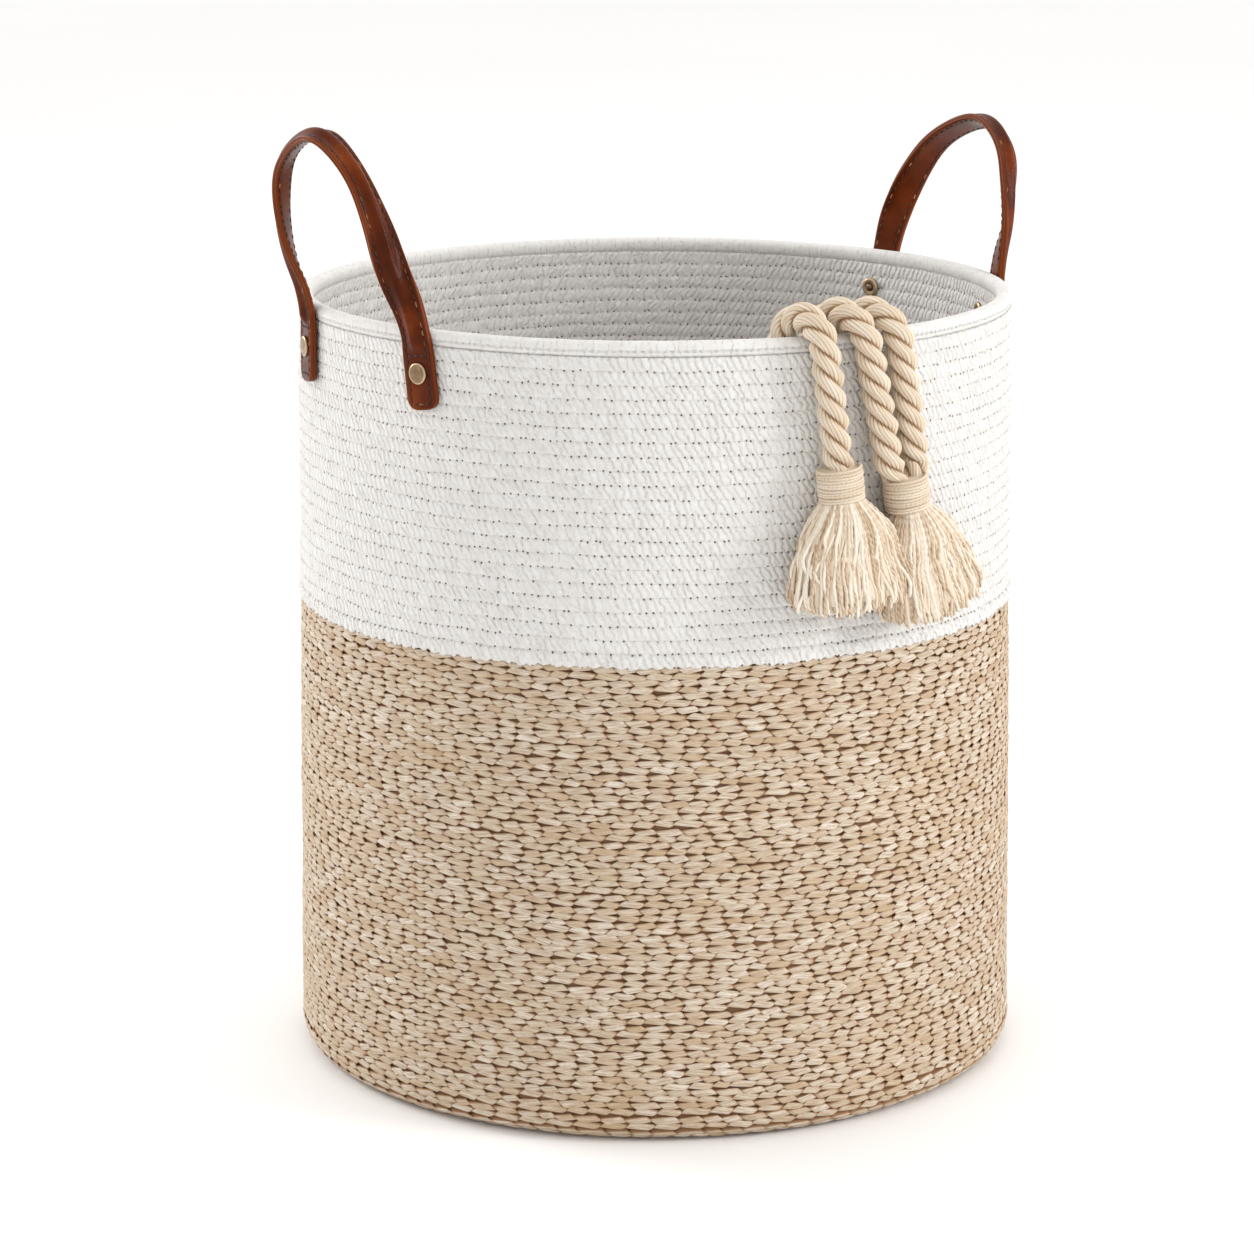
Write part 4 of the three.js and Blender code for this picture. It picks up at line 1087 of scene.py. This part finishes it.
handles = {}
for side, turn in TURN.items():
    SP, ST, SN, SW, SS = strap_path(side)
    SLEN = SS[-1]
    END = np.minimum(SS, SLEN - SS)
    # the middle of each tab is at the rivet; padding starts just above it
    CROSS = 291.5 - TAB_LOW
    fade = np.clip((END - CROSS) / 5.0, 0, 1)
    fade = fade**2 * (3 - 2 * fade)
    c = TAB_CORNER
    half_w = np.where(END < c, STRAP_W / 2 - c + np.sqrt(np.clip(c * c - (c - END) ** 2, 0, None)), STRAP_W / 2)
    half_w = np.maximum(half_w, STRAP_W / 2 - c + 0.05)
    draw = np.clip((END - CROSS + 2) / 12.0, 0, 1)
    draw = draw * draw * (3 - 2 * draw)  # drawn in round the padding above the tab
    half_w = half_w - (STRAP_W - ARCH_W) / 2 * draw
    inset = 2.15 - 0.35 * draw  # edge to stitches
    n = len(SS)
    # outer leather
    W = half_w[:, None] * u_top
    seam_w = np.full((n, 1), 4.65) * (1 - draw[:, None]) + draw[:, None] * (ARCH_W / 2 - 1.75)
    edge_drop = np.array([0.62, 0.22, 0.04] + [0.0] * 29 + [0.04, 0.22, 0.62])
    gf = (END > 2.0)[:, None] * 1.0
    top = face(W, fade[:, None], gf, seam_w) - edge_drop
    Wb = half_w[:, None] * np.array([1.0, 0.5, 0.0, -0.5, -1.0])
    bot = np.full(Wb.shape, 0.02)
    X, Y = np.concatenate([W, Wb], 1), np.concatenate([top, bot], 1)
    m = X.shape[1]
    edge = np.concatenate([[1, 0.75, 0.1] + [0] * 29 + [0.1, 0.75, 1], [1, 0, 0, 0, 1]]).astype(float)
    edge = np.broadcast_to(edge, X.shape).copy()
    edge[0], edge[-1] = 1, 1
    dep = np.exp(-(((np.abs(X) - seam_w) / 0.4) ** 2)) * np.concatenate([np.ones(35), np.zeros(5)]) * gf
    b = Build()
    sweep(b, SP, SW, SN, X, Y, edge=edge, dep=dep)
    b.v = [strap_turn(v, turn) for v in b.v]
    outer = b.object(side + "_handle_leather", MAT_LEATHER)
    # lining leather
    Wl = half_w[:, None] * np.linspace(-1, 1, 17)
    low = -(0.1 + LAYER) + 0.2 * np.exp(-(((np.abs(Wl) - seam_w) / 0.45) ** 2)) * gf
    low = low + np.array([0.5, 0.08] + [0] * 13 + [0.08, 0.5])
    Wt = half_w[:, None] * np.array([1.0, 0.0, -1.0])
    X, Y = np.concatenate([Wl, Wt], 1), np.concatenate([low, np.full(Wt.shape, -0.02)], 1)
    edge = np.broadcast_to(np.array([1, 0.2] + [0] * 13 + [0.2, 1] + [1, 0, 1.0]), X.shape).copy()
    edge[0], edge[-1] = 1, 1
    dep = np.exp(-(((np.abs(X) - seam_w) / 0.4) ** 2)) * np.concatenate([np.ones(17), np.zeros(3)]) * gf
    b = Build()
    sweep(b, SP, SW, SN, X, Y, edge=edge, dep=dep)
    b.v = [strap_turn(v, turn) for v in b.v]
    inner = b.object(side + "_handle_under_leather", MAT_LINING)
    # stitches on both faces
    b = Build()
    k = rng(60 if side == "right" else 61)
    line = []  # distance along the strap, distance across it
    U0 = 2.6
    pitch = 3.25
    count = int((SLEN - 2 * (U0 + 2.0)) / pitch)
    for sg in (-1, 1):
        for i in range(count + 1):
            s0 = U0 + 2.0 + (SLEN - 2 * (U0 + 2.0)) * i / count
            line.append((s0, sg * float(np.interp(s0, SS, seam_w[:, 0])), 0.0))
    for tail in (0, 1):
        for w0 in (-2.9, 0.0, 2.9):
            s0 = U0 if not tail else SLEN - U0
            line.append((s0, w0, 1.0))
            s1 = CROSS if not tail else SLEN - CROSS
            line.append((s1, w0 * 0.98, 1.0))
    m, rings = 6, 7
    tt = np.linspace(-1, 1, rings)
    prof = np.sqrt(np.clip(1 - tt**4, 0.02, 1))
    for s0, w0, crossways in line:
        for facing in (1, -1):
            i = int(np.clip(np.searchsorted(SS, s0), 0, n - 1))
            P, T, N_, W_ = SP[i], ST[i], SN[i], SW[i]
            hgt = float(face(np.array(w0), fade[i], 1.0, seam_w[i, 0])) if facing > 0 else 0.1 + LAYER - 0.2
            along = T if crossways == 0 else W_
            acrossd = W_ if crossways == 0 else T
            L2 = 1.08 + k.uniform(-0.08, 0.08)
            skew = k.normal(0, 0.05)
            arch_ = 0.06 + 0.14 * (1 - tt**2)
            c0 = P + N_ * facing * hgt + W_ * w0
            line_p = c0 + along * (tt * L2)[:, None] + acrossd * (tt * skew)[:, None] + N_ * facing * arch_[:, None]
            X, Y = circle(m, 1.0)
            ones = np.ones((rings, 1))
            sweep(b, line_p, np.tile(acrossd, (rings, 1)), np.tile(N_ * facing, (rings, 1)), 0.27 * prof[:, None] * X, 0.24 * prof[:, None] * Y, rnd=k.random())
    b.v = [strap_turn(v, turn) for v in b.v]
    stitches = b.object(side + "_handle_stitches", MAT_THREAD)
    # felt core under the padding, between the two leathers
    sel = (END > 34) 
    ff = fade[sel]
    wv = np.linspace(-1, 1, 9) * 3.0
    up = 0.1 + np.maximum(pad(wv, ff[:, None]) - 0.35, 0.05) 
    X = np.concatenate([np.tile(wv, (sel.sum(), 1)), np.tile(wv[::-1][1:-1], (sel.sum(), 1))], 1)
    Y = np.concatenate([up, np.full((sel.sum(), 7), 0.05)], 1)
    b = Build()
    sweep(b, SP[sel], SW[sel], SN[sel], X, Y)
    b.v = [strap_turn(v, turn) for v in b.v]
    filler = b.object(side + "_handle_core", MAT_FELT)
    ends = [side + "_front", side + "_rear"]
    for o in (outer, inner, stitches):
        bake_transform(o)
    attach(filler, side + "_handle")
    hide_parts(side + "_handle_strap", *[e + "_tab" for e in ends])
    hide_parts(side + "_handle_lining", *[e + "_tab_lining" for e in ends])
    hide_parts(side + "_handle_filler")

# ---- rivets ---------------------------------------------------------------------------------------------
def lathe_x(b, prof, az, z, seg=48, edge=None, dent=0.0, seed=0):
    """A turned piece whose axis points out of the wall; prof is (distance from the basket's axis, radius)."""
    prof = np.array(prof, float)
    t = 2 * np.pi * np.arange(seg) / seg
    a_ = math.radians(az)
    ax = np.array([math.cos(a_), math.sin(a_), 0])
    tx = np.array([-math.sin(a_), math.cos(a_), 0])
    P = ax * prof[:, :1] + np.array([0, 0, z])
    rr = np.maximum(prof[:, 1:2], 0.01)
    k = rng(seed)
    wob = 1 + dent * sum(np.sin(i * t + k.uniform(0, 6)) for i in (2, 3, 5))
    e = np.zeros(len(prof)) if edge is None else np.array(edge, float)
    sweep(b, P, np.tile(tx, (len(P), 1)), np.tile([0.0, 0, 1], (len(P), 1)), rr * np.cos(t) * wob, rr * np.sin(t) * wob, edge=np.repeat(e[:, None], seg, 1))


shift = math.degrees(SLANT * (HINGE_Z - RIVET_Z) / (outer_r(RIVET_Z) + 1.7))
for i, (name, az) in enumerate(
    (
        ("right_rear", TURN["right"] + TAB_AZ["right"] + shift),
        ("right_front", TURN["right"] - TAB_AZ["right"]),
        ("left_front", TURN["left"] + TAB_AZ["left"] + shift),
        ("left_rear", TURN["left"] - TAB_AZ["left"]),
    )
):
    f0 = strap_r(RIVET_Z) + 0.1 + LAYER
    inside = outer_r(RIVET_Z) - WALL - 0.3
    b = Build()
    R = RIVET_CAP_R - 0.05
    lathe_x(
        b,
        [(inside - 1.5, 0.02), (inside - 1.5, 1.2), (inside - 1.2, 1.5), (f0 - 0.1, 1.5), (f0 - 0.1, R - 0.25),
         (f0 + 0.10, R), (f0 + 0.62, R), (f0 + 0.86, R - 0.14), (f0 + 1.0, R - 0.45), (f0 + 1.04, R - 0.62), (f0 + 1.1, R * 0.7),
         (f0 + 1.22, R * 0.4), (f0 + 1.26, 0.02)],
        az, RIVET_Z, 56, [0, 0, 0, 0, 0, 0.2, 0.3, 0.8, 0.9, 0.1, 0, 0, 0], 0.0025, 80 + i,
    )
    cap = b.object(name + "_rivet_head", MAT_BRASS)
    b = Build()
    lathe_x(
        b,
        [(inside + 0.1, 1.6), (inside + 0.1, R), (inside - 0.5, R), (inside - 0.85, R - 0.3), (inside - 0.95, R - 0.7), (inside - 0.95, 1.9), (inside - 0.7, 1.6)],
        az, RIVET_Z, 48, [0, 0.2, 0.6, 1, 0.5, 0.2, 0], 0.002, 90 + i,
    )
    back = b.object(name + "_rivet_washer", MAT_BRASS)
    for o, node in ((cap, name + "_rivet_cap"), (back, name + "_rivet_back")):
        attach(o, "basket")
        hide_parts(node)

# ---- keeper band, sewn inside the front of the wall ---------------------------------------------------------
KA = math.radians(-95.8)


def keeper_line():
    """The band's middle line in (along the wall, distance from the axis), from one end to the other."""
    r_wall = 131.2
    pts = []
    for t in np.linspace(-29.5, -21.5, 9):
        pts.append((t, math.sqrt(r_wall**2 - t * t)))
    for t, n_ in ((-20.3, 128.2), (-19.7, 125.5), (-19.4, 121.5), (-18.6, 119.0), (-16.5, 118.0), (-12, 117.9)):
        pts.append((t, n_))
    full = pts + [(0, 117.8)] + [(-t, n_) for t, n_ in pts[::-1]]
    p = catmull([(t, n_, 0) for t, n_ in full], 12)
    return resample(p, 0.7)


P2, s2 = keeper_line()
T2 = unit(np.gradient(P2, axis=0))
N2 = np.stack([T2[:, 1], -T2[:, 0], 0 * s2], -1)
tv, nv = np.array([-math.sin(KA), math.cos(KA), 0]), np.array([math.cos(KA), math.sin(KA), 0])


def to_world(p):
    return p[:, :1] * tv + p[:, 1:2] * nv


PC = to_world(P2) + np.array([0, 0, 261.0])
NC = to_world(N2)
zz = np.concatenate([np.linspace(-11, 11, 23), np.linspace(11, -11, 23)])
thick = 0.75
oo = np.concatenate([np.full(23, thick), np.full(23, -thick)])
oo[0] = oo[22] = thick * 0.55
oo[23] = oo[45] = -thick * 0.55
b = Build()
st = np.stack([np.repeat(s2[:, None], 46, 1), np.broadcast_to(zz + 11, (len(s2), 46)), np.broadcast_to(oo, (len(s2), 46))], -1)
sweep(b, PC, NC, np.tile([0.0, 0, 1], (len(PC), 1)), oo, zz, st=st)
keeper = b.object("rope_keeper", MAT_WEB)
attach(keeper, "basket")
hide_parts("rope_keeper_band")

# ---- light and floor --------------------------------------------------------------------------------------
fl = Nodes("floor", 0.9)
fl.bump(fl.math("MULTIPLY", fl.noise(fl.coords(), 60.0, 2.0), 0.05))
floor_mat = fl.done(fl.ramp(fl.noise(fl.coords(), 1.5, 1.0), [(0.3, (0.965, 0.962, 0.958)), (0.7, (0.98, 0.977, 0.973))]))
me = bpy.data.meshes.new("floor")
me.from_pydata([(-6, -6, 0), (6, -6, 0), (6, 6, 0), (-6, 6, 0)], [], [(0, 1, 2, 3)])
me.materials.append(floor_mat)
floor = bpy.data.objects.new("floor", me)
scene.collection.objects.link(floor)

world = bpy.data.worlds.new("studio")
scene.world = world
world.use_nodes = True
world.node_tree.nodes["Background"].inputs[0].default_value = (1.0, 0.995, 0.985, 1)
world.node_tree.nodes["Background"].inputs[1].default_value = 1.0
scene.view_settings.view_transform = "Standard"


def area(name, loc, target, size, power, color=(1, 1, 1)):
    d = bpy.data.lights.new(name, "AREA")
    d.shape, d.size, d.energy, d.color = "DISK", size, power, color
    o = bpy.data.objects.new(name, d)
    scene.collection.objects.link(o)
    o.location = loc
    v = np.array(target) - np.array(loc)
    from mathutils import Vector

    o.rotation_euler = Vector(v).to_track_quat("-Z", "Y").to_euler()
    return o


area("right", (1.45, -1.72, 1.05), (0, 0, 0.17), 0.75, 23)
area("left_rear", (-1.13, 1.95, 1.0), (0, 0, 0.17), 0.9, 22)
area("top", (0.3, 0.3, 2.4), (0, 0, 0.1), 1.2, 6)
